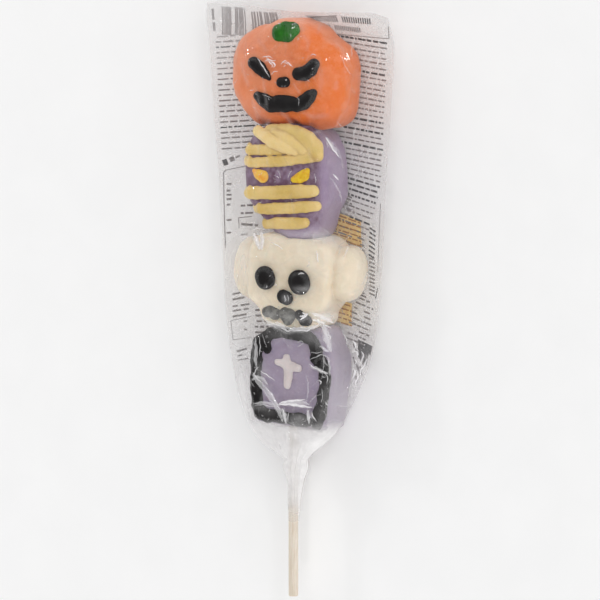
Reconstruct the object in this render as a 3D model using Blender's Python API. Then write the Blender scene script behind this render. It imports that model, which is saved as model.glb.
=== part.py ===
"""Marshmallow skewer in a clear sealed bag, lying on its back with the decorated side up.

Frame: metres, +Z up. Origin at the middle of the footprint, on the surface it lies on.
+Y runs along the stick towards the bag's top seal, +X to the viewer's right.

Two pieces:
  sealed_bag  the film bag with the four marshmallows in it, as one solid out to the film
  stick       the round wooden stick, gripped by the bag's gathered tail
"""

import math

import bmesh
import bpy
import numpy as np

MM = 0.001

# ---------------------------------------------------------------- driving sizes, mm
LENGTH = 255.0  # top corner of the bag to the tip of the stick
Y_TIP = -LENGTH / 2
Y_TOP = LENGTH / 2
RIM_HALF = 44.4  # half the width of the flat bag at the top
RIM_Z = 11.0  # height of the bag's side edges above the table
RIM_T = 1.0  # thickness of the closed edge
STICK_Z = 14.0  # height of the stick's axis, the middle of the marshmallows
STICK_X = -1.7
STICK_R = 2.1
BORE_GAP = 0.3
STICK_IN_Y = -55.3  # where the stick meets the lowest marshmallow
TAIL_END_Y = -95.0  # where the gathered film ends on the stick
NECK_Y = -68.0  # the waist where the bag is gathered

# The bag's side edges: y, left x, right x. It tapers slowly, then runs in to the waist.
EDGE_STATIONS = (
    (124.5, -44.2, 41.6),
    (118.0, -44.4, 43.4),
    (112.0, -43.4, 44.4),
    (86.0, -41.4, 43.2),
    (52.0, -38.6, 40.8),
    (18.0, -36.5, 39.0),
    (0.0, -35.6, 37.6),
    (-21.0, -33.3, 34.4),
    (-38.0, -29.6, 28.2),
    (-47.0, -26.3, 23.8),
    (-56.0, -21.6, 18.2),
    (-61.5, -16.4, 12.4),
    (-65.0, -10.4, 8.0),
    (-68.0, -5.9, 5.6),
)

# The gathered tail below the waist: y, centre x, radius.
TAIL_STATIONS = (
    (-68.0, -0.15, 5.75),
    (-71.2, -0.5, 6.5),
    (-77.0, -0.95, 4.6),
    (-85.5, -1.35, 3.6),
    (-95.0, -1.7, 3.0),
)

# The four marshmallows: centre x, centre y, half width, half height, squareness, turn in degrees, thickness.
PUMPKIN = (0.0, 97.6, 25.0, 21.4, 2.4, 0.0, 28.0)
MUMMY = (0.0, 54.0, 20.4, 24.6, 2.7, 4.0, 27.0)
SKULL = (1.2, 9.3, 21.0, 19.6, 2.8, -5.0, 27.0)
SKULL_LOBES = (1.2, 9.6, 28.7, 12.2, 2.6, -3.0, 25.0)
COFFIN = (1.0, -31.6, 20.0, 22.8, 5.0, -5.0, 24.0)
CONTENTS = (PUMPKIN, MUMMY, SKULL, SKULL_LOBES, COFFIN)
EDGE_ROUND = 5.5  # rounding of a marshmallow's front edges
BACK_ROUND = 4.5  # rounding of its back edges
RELIEF = 1.6  # how far the piped faces stand proud of the marshmallows
FILM_LIFT = 0.4  # the film's mean distance from what it lies on

# The flat patch that the pack rests on: half width, lowest and highest y.
REST_HALF, REST_LO, REST_HI = 15.0, -49.0, 112.0

ACROSS = 22  # spans across each face of the bag
LONG_STEP = 3.6  # spacing of the sections along the bag
SOLVE_DX = 1.5
SOLVE_ROUNDS = 1400


# ---------------------------------------------------------------- shape functions
def smooth(t):
    t = np.clip(t, 0.0, 1.0)
    return t * t * (3.0 - 2.0 * t)


def stations(table, column, y):
    """Smooth reading of one column of a table whose first column, y, falls."""
    ys = np.array([row[0] for row in table])[::-1]
    vs = np.array([row[column] for row in table])[::-1]
    rise = np.diff(vs) / np.diff(ys)
    slope = np.concatenate([rise[:1], (rise[1:] + rise[:-1]) / 2, rise[-1:]])
    slope[1:-1][rise[1:] * rise[:-1] <= 0] = 0.0  # no swelling past a widest or narrowest station
    y = np.clip(np.asarray(y, float), ys[0], ys[-1])
    k = np.clip(np.searchsorted(ys, y, side="right") - 1, 0, len(ys) - 2)
    h = ys[k + 1] - ys[k]
    t = (y - ys[k]) / h
    return (
        (2 * t**3 - 3 * t**2 + 1) * vs[k]
        + (t**3 - 2 * t**2 + t) * h * slope[k]
        + (-2 * t**3 + 3 * t**2) * vs[k + 1]
        + (t**3 - t**2) * h * slope[k + 1]
    )


def rim_height(y):
    """The side edges lie at RIM_Z and rise to the stick's axis at the waist."""
    return RIM_Z + (STICK_Z - RIM_Z) * smooth((-25.0 - y) / 40.0)


def top_edge(u):
    """How the sealed top edge wanders across the bag, u from 0 at the left to 1 at the right, about y = 124.5."""
    left = 3.0 * np.clip(1.0 - u / 0.42, 0.0, 1.0) ** 2
    right = 1.2 * smooth((u - 0.55) / 0.35) - 2.4 * np.clip((u - 0.9) / 0.1, 0, 1) ** 2
    return left + right


def depth_inside(piece, x, y):
    """Distance in from a marshmallow's outline, negative outside."""
    cx, cy, a, b, n, turn, _ = piece
    c, s = math.cos(math.radians(turn)), math.sin(math.radians(turn))
    px, py = (x - cx) * c + (y - cy) * s, -(x - cx) * s + (y - cy) * c
    f = (np.abs(px / a) ** n + np.abs(py / b) ** n) ** (1.0 / n)
    return (1.0 - f) * min(a, b)


def face_height(x, y):
    """Top surface of the contents, rounded at the edges, or below zero where there are none."""
    top = np.full(np.shape(x), -100.0)
    for piece in CONTENTS:
        d = depth_inside(piece, x, y)
        r = EDGE_ROUND
        inner = np.clip(d, 0.0, r)
        z = piece[6] - r + np.sqrt(np.maximum(r * r - (r - inner) ** 2, 0.0))
        z = z + RELIEF * smooth((d - 2.0) / 4.0)
        top = np.maximum(top, np.where(d > 0.0, z, -100.0))
    return top


def back_height(x, y):
    """Under surface of the contents, rounded at the edges, or very high where there are none."""
    low = np.full(np.shape(x), 100.0)
    for piece in CONTENTS:
        d = depth_inside(piece, x, y)
        inner = np.clip(d, 0.0, BACK_ROUND)
        z = BACK_ROUND - np.sqrt(
            np.maximum(BACK_ROUND**2 - (BACK_ROUND - inner) ** 2, 0.0)
        )
        low = np.minimum(low, np.where(d > 0.0, z, 100.0))
    return low


def solve_films():
    """The two films as stretched membranes: edges held at the rim, the front one over the contents, the back one under them and down to the table."""
    ny = int(round((124.5 - NECK_Y) / SOLVE_DX)) + 1
    nu = 57
    y = np.linspace(124.5, NECK_Y, ny)
    u = np.linspace(0.0, 1.0, nu)
    left, right = stations(EDGE_STATIONS, 1, y), stations(EDGE_STATIONS, 2, y)
    x = left[:, None] + (right - left)[:, None] * u[None, :]
    yy = np.repeat(y[:, None], nu, axis=1)
    rim = np.repeat(rim_height(y)[:, None], nu, axis=1)
    dx2 = (((right - left) / (nu - 1)) ** 2)[1:-1, None]
    dy2 = (y[0] - y[1]) ** 2
    over = face_height(x, yy) + FILM_LIFT
    under = back_height(x, yy)
    band = np.minimum(
        REST_HALF - np.abs(x), np.minimum(yy - REST_LO, REST_HI - yy)
    )
    round_neck = STATION_NECK_R * np.sqrt(np.maximum(1 - (2 * u - 1) ** 2, 0))
    front, back = rim.copy(), rim.copy()
    for _ in range(SOLVE_ROUNDS):
        for film in (front, back):
            mean = (
                (film[1:-1, 2:] + film[1:-1, :-2]) / dx2
                + (film[2:, 1:-1] + film[:-2, 1:-1]) / dy2
            ) / (2 / dx2 + 2 / dy2)
            film[1:-1, 1:-1] = mean
            film[0] = rim[0]
            film[:, 0], film[:, -1] = rim[:, 0], rim[:, -1]
        front[-1], back[-1] = STICK_Z + round_neck, STICK_Z - round_neck
        np.maximum(front, over, out=front)
        np.minimum(back, under, out=back)
        back[band >= 0] = 0.0
        np.maximum(back, 0.0, out=back)
    return y, u, front, back


STATION_NECK_R = TAIL_STATIONS[0][2]


def read_grid(grid, y, u, ys, us):
    """Bilinear reading of a solved film at station y and share u across."""
    fy = np.clip((ys[0] - y) / (ys[0] - ys[1]), 0, len(ys) - 1.001)
    fu = np.clip(u * (len(us) - 1), 0, len(us) - 1.001)
    j, i = int(fy), int(fu)
    tj, ti = fy - j, fu - i
    return (
        grid[j, i] * (1 - tj) * (1 - ti)
        + grid[j + 1, i] * tj * (1 - ti)
        + grid[j, i + 1] * (1 - tj) * ti
        + grid[j + 1, i + 1] * tj * ti
    )


def bag_rings():
    """Closed sections of the bag from the top seal to the tail's end, each with the same number of points."""
    ys, us, front, back = solve_films()
    # Points crowd a little towards the side edges, and fully so in the round tail.
    even = np.linspace(0.0, 1.0, ACROSS + 1)
    round_ = (1.0 - np.cos(np.pi * even)) / 2.0
    n_long = int(round((124.5 - NECK_Y) / LONG_STEP))
    levels = [124.5 - (124.5 - NECK_Y) * k / n_long for k in range(n_long + 1)]
    levels[1:1] = [123.6, 122.4]
    rings = []
    for y in levels:
        mix = smooth((-30.0 - y) / 38.0)
        share = even * (1 - mix) * 0.6 + round_ * (mix + 0.4 * (1 - mix))
        left, right = (float(stations(EDGE_STATIONS, c, y)) for c in (1, 2))
        near_top = float(smooth((y - 95.0) / 29.5))
        upper, lower = [], []
        edge_t = RIM_T / 2 * float(1 - smooth((-45.0 - y) / 23.0))
        for s in share:
            x = left + (right - left) * s
            yy = y + near_top * float(top_edge(s))
            zf = float(read_grid(front, y, s, ys, us))
            zb = float(read_grid(back, y, s, ys, us))
            upper.append((x, yy, zf + edge_t))
            lower.append((x, yy, max(zb - edge_t, 0.0)))
        rings.append(close_ring(upper, lower, edge_t))
    n_tail = 12
    for k in range(1, n_tail + 1):
        y = NECK_Y + (TAIL_END_Y - NECK_Y) * k / n_tail
        cx, r = (float(stations(TAIL_STATIONS, c, y)) for c in (1, 2))
        upper, lower = [], []
        for s in round_:
            w = math.sqrt(max(1 - (2 * s - 1) ** 2, 0.0)) * r
            upper.append((cx + r * (2 * s - 1), y, STICK_Z + w))
            lower.append((cx + r * (2 * s - 1), y, STICK_Z - w))
        rings.append(close_ring(upper, lower, 0.0))
    return rings


def close_ring(upper, lower, edge_t):
    """One ring: along the upper film left to right, back along the lower one. The rim's two points stay apart, or share a small step on the round tail."""
    step = max(edge_t, 0.12)
    ring = []
    for x, y, z in (upper[0], upper[-1]):
        ring.append((x, y, z))
    first, last = upper[0], upper[-1]
    mid_l = (first[2] + lower[0][2]) / 2
    mid_r = (last[2] + lower[-1][2]) / 2
    up = [(first[0], first[1], mid_l + step)] + upper[1:-1] + [(last[0], last[1], mid_r + step)]
    down = [(last[0], last[1], mid_r - step)] + lower[1:-1][::-1] + [(first[0], first[1], mid_l - step)]
    return up + down


# ---------------------------------------------------------------- objects
def material(name, colour, roughness, alpha=1.0):
    mat = bpy.data.materials.new(name)
    mat.use_nodes = True
    node = mat.node_tree.nodes["Principled BSDF"]
    node.inputs["Base Color"].default_value = (*colour, 1.0)
    node.inputs["Roughness"].default_value = roughness
    node.inputs["Metallic"].default_value = 0.0
    node.inputs["Alpha"].default_value = alpha
    return mat


def link(name, bm, mat, smooth_angle=40.0):
    bmesh.ops.recalc_face_normals(bm, faces=bm.faces[:])
    mesh = bpy.data.meshes.new(name)
    bm.to_mesh(mesh)
    bm.free()
    obj = bpy.data.objects.new(name, mesh)
    bpy.context.scene.collection.objects.link(obj)
    obj.data.materials.append(mat)
    mesh.shade_smooth()
    mesh.set_sharp_from_angle(angle=math.radians(smooth_angle))
    return obj


def make_bag(mat):
    rings = bag_rings()
    bm = bmesh.new()
    loops = [
        [bm.verts.new((x * MM, y * MM, z * MM)) for x, y, z in ring] for ring in rings
    ]
    count = len(loops[0])
    for a, b in zip(loops, loops[1:]):
        for i in range(count):
            j = (i + 1) % count
            bm.faces.new((a[i], a[j], b[j], b[i]))
    # The top seal and the tail's end are closed across from film to film.
    half = count // 2
    for loop, turn in ((loops[0], False), (loops[-1], True)):
        for i in range(half - 1):
            quad = (loop[i], loop[i + 1], loop[count - 2 - i], loop[count - 1 - i])
            bm.faces.new(quad if turn else quad[::-1])
    return link("sealed_bag", bm, mat)


def rod(name, radius, y_low, y_high, segments, chamfer=0.0):
    """A round rod along Y about the stick's axis, its lower end eased by a chamfer."""
    profile = [(radius, y_high), (radius, y_low + chamfer)]
    if chamfer:
        profile.append((radius - chamfer * 0.35, y_low + chamfer * 0.3))
        profile.append((radius - chamfer * 0.9, y_low))
    else:
        profile[-1] = (radius, y_low)
    bm = bmesh.new()
    rings = []
    for r, y in profile:
        rings.append(
            [
                bm.verts.new(
                    (
                        (STICK_X + r * math.cos(2 * math.pi * k / segments)) * MM,
                        y * MM,
                        (STICK_Z + r * math.sin(2 * math.pi * k / segments)) * MM,
                    )
                )
                for k in range(segments)
            ]
        )
    for a, b in zip(rings, rings[1:]):
        for k in range(segments):
            m = (k + 1) % segments
            bm.faces.new((a[k], a[m], b[m], b[k]))
    bm.faces.new(rings[0])
    bm.faces.new(rings[-1][::-1])
    return bm


def main():
    for obj in list(bpy.data.objects):
        bpy.data.objects.remove(obj, do_unlink=True)
    film = material("clear_film", (0.74, 0.72, 0.72), 0.12, 0.55)
    wood = material("pale_wood", (0.73, 0.62, 0.48), 0.6)

    bag = make_bag(film)
    stick = link(
        "stick", rod("stick", STICK_R, Y_TIP, STICK_IN_Y, 28, chamfer=0.6), wood
    )

    # The tail is hollow round the stick.
    cutter = link(
        "stick_bore",
        rod(
            "stick_bore", STICK_R + BORE_GAP, TAIL_END_Y - 4.0, STICK_IN_Y + 0.3, 28
        ),
        wood,
    )
    cutter.hide_render = True
    cutter.display_type = "WIRE"
    cut = bag.modifiers.new("stick_bore", "BOOLEAN")
    cut.operation = "DIFFERENCE"
    cut.solver = "EXACT"
    cut.object = cutter

    pack = bpy.data.objects.new("marshmallow_skewer", None)
    bpy.context.scene.collection.objects.link(pack)
    for obj in (bag, stick, cutter):
        obj.parent = pack


main()
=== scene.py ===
"""A skewer of four shaped marshmallows in a clear film bag, lying on its back: the looks.

Lengths in this file are millimetres in the part's frame (x across, y along the stick, z up)
until a mesh is made, when they are turned into metres.
"""

import math

import bmesh
import bpy
import numpy as np
from mathutils import Matrix, Vector
from mathutils.bvhtree import BVHTree


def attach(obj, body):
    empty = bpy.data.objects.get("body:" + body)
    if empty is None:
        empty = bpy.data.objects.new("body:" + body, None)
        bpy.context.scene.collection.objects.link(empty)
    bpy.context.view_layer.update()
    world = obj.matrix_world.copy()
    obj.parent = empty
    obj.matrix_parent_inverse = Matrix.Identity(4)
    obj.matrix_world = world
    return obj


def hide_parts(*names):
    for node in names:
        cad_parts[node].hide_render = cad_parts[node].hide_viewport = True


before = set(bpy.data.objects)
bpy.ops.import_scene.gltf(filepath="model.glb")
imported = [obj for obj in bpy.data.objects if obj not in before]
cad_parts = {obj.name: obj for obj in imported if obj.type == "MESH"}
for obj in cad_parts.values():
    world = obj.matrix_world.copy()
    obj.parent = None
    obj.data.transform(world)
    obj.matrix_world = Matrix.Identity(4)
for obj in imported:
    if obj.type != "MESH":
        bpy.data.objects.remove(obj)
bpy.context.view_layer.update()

MM = 0.001

# ------------------------------------------------------------------ the view
TURN = math.radians(25.0)  # the camera stands this far to the right of the faces
LIFT = math.radians(5.0)  # and this far towards the top of the bag
MM_PER_PX = 0.43
AXIS_PX, MID_PY = 297.0, 301.6
MID_Z = 14.0


def at_view(px, py, z):
    """World x, y of what shows at px, py of the 600 px frame, if it lies at height z."""
    x = ((px - AXIS_PX) * MM_PER_PX + (z - MID_Z) * math.sin(TURN)) / math.cos(TURN)
    y = (
        (MID_PY - py) * MM_PER_PX
        + (x * math.sin(TURN) + (z - MID_Z) * math.cos(TURN)) * math.sin(LIFT)
    ) / math.cos(LIFT)
    return x, y


# ------------------------------------------------------------------ small tools
def smooth(t):
    t = np.clip(t, 0.0, 1.0)
    return t * t * (3.0 - 2.0 * t)


def srgb(r, g, b):
    """Linear colour of an 8-bit display colour."""
    out = []
    for v in (r, g, b):
        v = v / 255.0
        out.append(v / 12.92 if v <= 0.04045 else ((v + 0.055) / 1.055) ** 2.4)
    return tuple(out)


def lattice(i, j, k, seed):
    h = (i * 374761393 + j * 668265263 + k * 2147483647 + seed * 974634777) & 0xFFFFFFFF
    h = ((h ^ (h >> 13)) * 1274126177) & 0xFFFFFFFF
    h = ((h ^ (h >> 15)) * 2246822519) & 0xFFFFFFFF
    return ((h ^ (h >> 16)) & 0xFFFFFF) / float(0xFFFFFF) * 2.0 - 1.0


TILT = np.array(
    Matrix.Rotation(0.71, 3, "X") @ Matrix.Rotation(0.53, 3, "Y") @ Matrix.Rotation(1.1, 3, "Z")
)


def noise(p, scale, seed=0):
    """Smooth noise in -1..1 at points p (n, 3), its bumps about one scale across."""
    q = (p @ TILT.T) / np.asarray(scale, float)
    base = np.floor(q).astype(np.int64)
    f = q - base
    u = f * f * f * (f * (6 * f - 15) + 10)
    out = np.zeros(len(p))
    for di in (0, 1):
        wi = u[:, 0] if di else 1 - u[:, 0]
        for dj in (0, 1):
            wj = u[:, 1] if dj else 1 - u[:, 1]
            for dk in (0, 1):
                wk = u[:, 2] if dk else 1 - u[:, 2]
                out += (
                    wi
                    * wj
                    * wk
                    * lattice(base[:, 0] + di, base[:, 1] + dj, base[:, 2] + dk, seed)
                )
    return out


def stations(table, column, y):
    """Smooth reading of one column of a table whose first column, y, falls."""
    ys = np.array([row[0] for row in table])[::-1]
    vs = np.array([row[column] for row in table])[::-1]
    rise = np.diff(vs) / np.diff(ys)
    slope = np.concatenate([rise[:1], (rise[1:] + rise[:-1]) / 2, rise[-1:]])
    slope[1:-1][rise[1:] * rise[:-1] <= 0] = 0.0
    y = np.clip(np.asarray(y, float), ys[0], ys[-1])
    k = np.clip(np.searchsorted(ys, y, side="right") - 1, 0, len(ys) - 2)
    h = ys[k + 1] - ys[k]
    t = (y - ys[k]) / h
    return (
        (2 * t**3 - 3 * t**2 + 1) * vs[k]
        + (t**3 - 2 * t**2 + t) * h * slope[k]
        + (-2 * t**3 + 3 * t**2) * vs[k + 1]
        + (t**3 - t**2) * h * slope[k + 1]
    )


def mesh_object(name, points, faces, mat, smooth_shade=True):
    """An object from points in millimetres."""
    mesh = bpy.data.meshes.new(name)
    points = np.asarray(points, np.float32) * MM
    faces = np.asarray(faces, np.int32)
    mesh.vertices.add(len(points))
    mesh.vertices.foreach_set("co", points.ravel())
    sides = faces.shape[1]
    mesh.loops.add(faces.size)
    mesh.loops.foreach_set("vertex_index", faces.ravel())
    mesh.polygons.add(len(faces))
    mesh.polygons.foreach_set("loop_start", np.arange(len(faces), dtype=np.int32) * sides)
    mesh.update(calc_edges=True)
    mesh.validate()
    if smooth_shade:
        mesh.shade_smooth()
    obj = bpy.data.objects.new(name, mesh)
    bpy.context.scene.collection.objects.link(obj)
    if mat is not None:
        mesh.materials.append(mat)
    return obj


def float_layer(obj, name, values):
    layer = obj.data.attributes.new(name, "FLOAT", "POINT")
    layer.data.foreach_set("value", np.asarray(values, np.float32))


def mesh_points(mesh):
    out = np.empty(len(mesh.vertices) * 3, np.float32)
    mesh.vertices.foreach_get("co", out)
    return out.reshape(-1, 3).astype(float) / MM


def mesh_normals(mesh):
    out = np.empty(len(mesh.vertices) * 3, np.float32)
    mesh.vertex_normals.foreach_get("vector", out)
    return out.reshape(-1, 3).astype(float)


# ------------------------------------------------------------------ solids from distance fields
CORNERS = [(i, j, k) for i in (0, 1) for j in (0, 1) for k in (0, 1)]
EDGES = [
    (a, b) for a in CORNERS for b in CORNERS if a < b and sum(abs(x - y) for x, y in zip(a, b)) == 1
]


def skin(field, lo, step):
    """Points and quads of the surface where the field, sampled on a grid from lo, changes sign; the inside is negative."""
    inside = field < 0
    shape = tuple(n - 1 for n in field.shape)

    def part(grid, c):
        return grid[c[0] : c[0] + shape[0], c[1] : c[1] + shape[1], c[2] : c[2] + shape[2]]

    count = sum(part(inside, c).astype(np.int8) for c in CORNERS)
    mixed = (count > 0) & (count < 8)
    cells = np.argwhere(mixed)
    index = -np.ones(shape, np.int64)
    index[mixed] = np.arange(len(cells))
    acc, hits = np.zeros((len(cells), 3)), np.zeros(len(cells))
    for a, b in EDGES:
        fa, fb = part(field, a)[mixed], part(field, b)[mixed]
        cross = (fa < 0) != (fb < 0)
        t = fa[cross] / (fa[cross] - fb[cross])
        acc[cross] += np.array(a) + t[:, None] * (np.array(b) - np.array(a))
        hits[cross] += 1
    points = np.asarray(lo) + step * (cells + acc / hits[:, None])
    quads = []
    for axis in range(3):
        one, two = (axis + 1) % 3, (axis + 2) % 3
        head = [slice(1, -1)] * 3
        head[axis] = slice(0, -1)
        tail = list(head)
        tail[axis] = slice(1, None)
        a, b = inside[tuple(head)], inside[tuple(tail)]
        where = np.argwhere(a != b)
        starts = a[a != b]
        at = where + 1
        at[:, axis] -= 1
        ring = []
        for s, t in ((0, 0), (1, 0), (1, 1), (0, 1)):
            c = at.copy()
            c[:, one] -= 1 - s
            c[:, two] -= 1 - t
            ring.append(index[c[:, 0], c[:, 1], c[:, 2]])
        ring = np.stack(ring, axis=1)
        ring[~starts] = ring[~starts][:, ::-1]
        quads.append(ring)
    return points, np.concatenate(quads)


def grid_of(lo, hi, step):
    axes = [np.arange(a, b + step, step) for a, b in zip(lo, hi)]
    return np.stack(np.meshgrid(*axes, indexing="ij"), axis=-1)


def soft_min(a, b, k):
    if k <= 0:
        return np.minimum(a, b)
    h = np.clip(0.5 + 0.5 * (b - a) / k, 0.0, 1.0)
    return b * (1 - h) + a * h - k * h * (1 - h)


def oval(x, y, a, b, n):
    """About the distance to a superellipse, negative inside."""
    u, v = np.abs(x / a) + 1e-9, np.abs(y / b) + 1e-9
    f = (u**n + v**n) ** (1.0 / n)
    g = np.sqrt((f ** (1 - n) * u ** (n - 1) / a) ** 2 + (f ** (1 - n) * v ** (n - 1) / b) ** 2)
    return (f - 1.0) / g


def polygon(x, y, corners):
    """Distance to a closed polygon, negative inside."""
    best = np.full(x.shape, 1e9)
    odd = np.zeros(x.shape, bool)
    for (x0, y0), (x1, y1) in zip(corners, corners[1:] + corners[:1]):
        ex, ey = x1 - x0, y1 - y0
        t = np.clip(((x - x0) * ex + (y - y0) * ey) / (ex * ex + ey * ey), 0, 1)
        best = np.minimum(best, np.hypot(x - x0 - t * ex, y - y0 - t * ey))
        with np.errstate(divide="ignore", invalid="ignore"):
            crosses = ((y0 > y) != (y1 > y)) & (x < ex * (y - y0) / (ey if ey else 1e-12) + x0)
        odd ^= crosses
    return np.where(odd, -best, best)


def slab(flat, z, low, high, round_low, round_high):
    """A pillow: a flat outline given thickness from low to high, its two edges rounded apart."""
    mid = (low + high) / 2
    r = np.where(z > mid, round_high, round_low)
    d = np.where(z > mid, z - high, low - z)
    q1, q2 = flat + r, d + r
    return np.minimum(np.maximum(q1, q2), 0) + np.hypot(np.maximum(q1, 0), np.maximum(q2, 0)) - r


def turned(x, y, cx, cy, degrees):
    c, s = math.cos(math.radians(degrees)), math.sin(math.radians(degrees))
    return (x - cx) * c + (y - cy) * s, -(x - cx) * s + (y - cy) * c


def chain(p, beads, squash):
    """Distance to a row of beads (x, y, z, r) joined into one strand, flattened in z."""
    best = np.full(p.shape[:-1], 1e9)
    x, y, z = p[..., 0], p[..., 1], p[..., 2]
    for a, b in zip(beads, beads[1:] if len(beads) > 1 else beads):
        e = [b[i] - a[i] for i in range(3)]
        long2 = max(e[0] ** 2 + e[1] ** 2, 1e-9)
        t = np.clip(((x - a[0]) * e[0] + (y - a[1]) * e[1]) / long2, 0, 1)
        r = a[3] + (b[3] - a[3]) * t
        d = (
            np.sqrt(
                (x - a[0] - t * e[0]) ** 2
                + (y - a[1] - t * e[1]) ** 2
                + ((z - a[2] - t * e[2]) / squash) ** 2
            )
            - r
        )
        best = soft_min(best, d, 0.6)
    return best


def strand_distance(p, beads):
    """Distance to a strand that runs steeply, its beads squeezed flat against the side in x."""
    best = np.full(p.shape[:-1], 1e9)
    for a, b in zip(beads, beads[1:]):
        a0, b0 = np.array(a[:3]), np.array(b[:3])
        e = b0 - a0
        t = np.clip(((p - a0) @ e) / max(e @ e, 1e-9), 0, 1)
        r = a[3] + (b[3] - a[3]) * t
        q = p - a0 - t[..., None] * e
        d = np.sqrt((q[..., 0] / 0.45) ** 2 + q[..., 1] ** 2 + (q[..., 2] / 0.9) ** 2) - r
        best = soft_min(best, d, 0.4)
    return best


def through(beads, step):
    """The beads' smooth curve, read about every step."""
    if len(beads) < 3:
        return [tuple(b) for b in beads]
    b = np.array(beads, float)
    pad = np.vstack([2 * b[0] - b[1], b, 2 * b[-1] - b[-2]])
    out = []
    for i in range(len(b) - 1):
        p0, p1, p2, p3 = pad[i : i + 4]
        n = max(1, int(np.linalg.norm((p2 - p1)[:2]) / step))
        for k in range(n):
            t = k / n
            out.append(
                0.5
                * (
                    2 * p1
                    + (p2 - p0) * t
                    + (2 * p0 - 5 * p1 + 4 * p2 - p3) * t * t
                    + (3 * p1 - 3 * p2 + p3 - p0) * t**3
                )
            )
    out.append(b[-1])
    return [tuple(v) for v in out]


# ------------------------------------------------------------------ materials
def shader(name):
    mat = bpy.data.materials.new(name)
    mat.use_nodes = True
    return mat, mat.node_tree, mat.node_tree.nodes["Principled BSDF"]


def node(nt, kind, **values):
    n = nt.nodes.new(kind)
    for key, value in values.items():
        if hasattr(n, key):
            setattr(n, key, value)
        else:
            n.inputs[key].default_value = value
    return n


def noise_node(nt, vector, scale, detail=3.0, rough=0.55):
    n = nt.nodes.new("ShaderNodeTexNoise")
    n.inputs["Scale"].default_value = scale
    n.inputs["Detail"].default_value = detail
    n.inputs["Roughness"].default_value = rough
    nt.links.new(vector, n.inputs["Vector"])
    return n


def ramp(nt, source, stops):
    n = nt.nodes.new("ShaderNodeValToRGB")
    e = n.color_ramp.elements
    e[0].position, e[0].color = stops[0][0], (*stops[0][1], 1)
    e[1].position, e[1].color = stops[-1][0], (*stops[-1][1], 1)
    for pos, col in stops[1:-1]:
        k = e.new(pos)
        k.color = (*col, 1)
    nt.links.new(source, n.inputs["Fac"])
    return n.outputs["Color"]


def mix(nt, fac, a, b, blend="MIX"):
    n = nt.nodes.new("ShaderNodeMix")
    n.data_type = "RGBA"
    n.blend_type = blend
    for value, socket in ((fac, n.inputs[0]), (a, n.inputs[6]), (b, n.inputs[7])):
        if isinstance(value, bpy.types.NodeSocket):
            nt.links.new(value, socket)
        elif isinstance(value, (int, float)):
            socket.default_value = value
        else:
            socket.default_value = (*value, 1)
    return n.outputs[2]


def maths(nt, op, *values, clamp=False):
    n = nt.nodes.new("ShaderNodeMath")
    n.operation = op
    n.use_clamp = clamp
    for value, socket in zip(values, n.inputs):
        if isinstance(value, bpy.types.NodeSocket):
            nt.links.new(value, socket)
        else:
            socket.default_value = value
    return n.outputs[0]


def tint(colour, k):
    return tuple(min(1.0, max(0.0, c * k)) for c in colour)


def marshmallow(name, colour, deep, soft=0.22, dust=0.10, rough=0.62, tone=None, shaded=None, patch=55, specular=0.35):
    """Soft, matt sugar foam: mottled, a little see-through at thin edges, pored and dusted with starch.

    Where a body has them, "tone" leads to a second colour, and "deep" to painted shade in a darker colour: where
    strands touch, low on the pumpkin and between the mummy's strips.
    """
    mat, nt, p = shader(name)
    obj = nt.nodes.new("ShaderNodeTexCoord").outputs["Object"]
    broad = noise_node(nt, obj, patch, 2.0)
    mid = noise_node(nt, obj, 260, 4.0, 0.6)
    fine = noise_node(nt, obj, 1500, 3.0, 0.6)
    base = mix(nt, ramp(nt, broad.outputs["Fac"], [(0.35, (0, 0, 0)), (0.65, (1, 1, 1))]), deep, colour)
    if tone is not None:
        amount = node(nt, "ShaderNodeAttribute", attribute_name="tone").outputs["Fac"]
        base = mix(nt, amount, base, tone)
    base = mix(
        nt,
        ramp(nt, mid.outputs["Fac"], [(0.45, (0, 0, 0)), (0.75, (0.55,) * 3)]),
        base,
        tint(colour, 1.12),
    )
    speck = ramp(nt, fine.outputs["Fac"], [(0.56, (0, 0, 0)), (0.72, (1, 1, 1))])
    speck = maths(nt, "MULTIPLY", speck, dust * 2.2)
    base = mix(nt, speck, base, (0.9, 0.87, 0.82))
    # Painted shade: the colour turns towards the painted shade colour where the "deep" attribute is high.
    if shaded is not None:
        amount = node(nt, "ShaderNodeAttribute", attribute_name="deep").outputs["Fac"]
        base = mix(nt, amount, base, shaded)
    nt.links.new(base, p.inputs["Base Color"])
    rough_out = maths(nt, "MULTIPLY_ADD", mid.outputs["Fac"], 0.25, rough - 0.12)
    nt.links.new(rough_out, p.inputs["Roughness"])
    p.inputs["Subsurface Weight"].default_value = soft
    p.inputs["Subsurface Radius"].default_value = (1.0, 0.6, 0.45)
    p.inputs["Subsurface Scale"].default_value = 0.003
    p.inputs["Specular IOR Level"].default_value = specular
    p.inputs["Sheen Weight"].default_value = 0.12 if specular > 0.3 else 0.0
    p.inputs["Sheen Roughness"].default_value = 0.5
    bump = nt.nodes.new("ShaderNodeBump")
    bump.inputs["Strength"].default_value = 0.5
    bump.inputs["Distance"].default_value = 0.00025
    height = maths(nt, "MULTIPLY_ADD", fine.outputs["Fac"], 0.5, mid.outputs["Fac"])
    nt.links.new(height, bump.inputs["Height"])
    nt.links.new(bump.outputs["Normal"], p.inputs["Normal"])
    return mat


def piped(name, colour, deep, rough=0.42, soft=0.15, dust=0.05, patch=150, specular=0.32, **more):
    """Piped foam, smoother and a little glossier than the bodies."""
    return marshmallow(name, colour, deep, soft=soft, dust=dust, rough=rough, patch=patch, specular=specular, **more)


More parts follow.
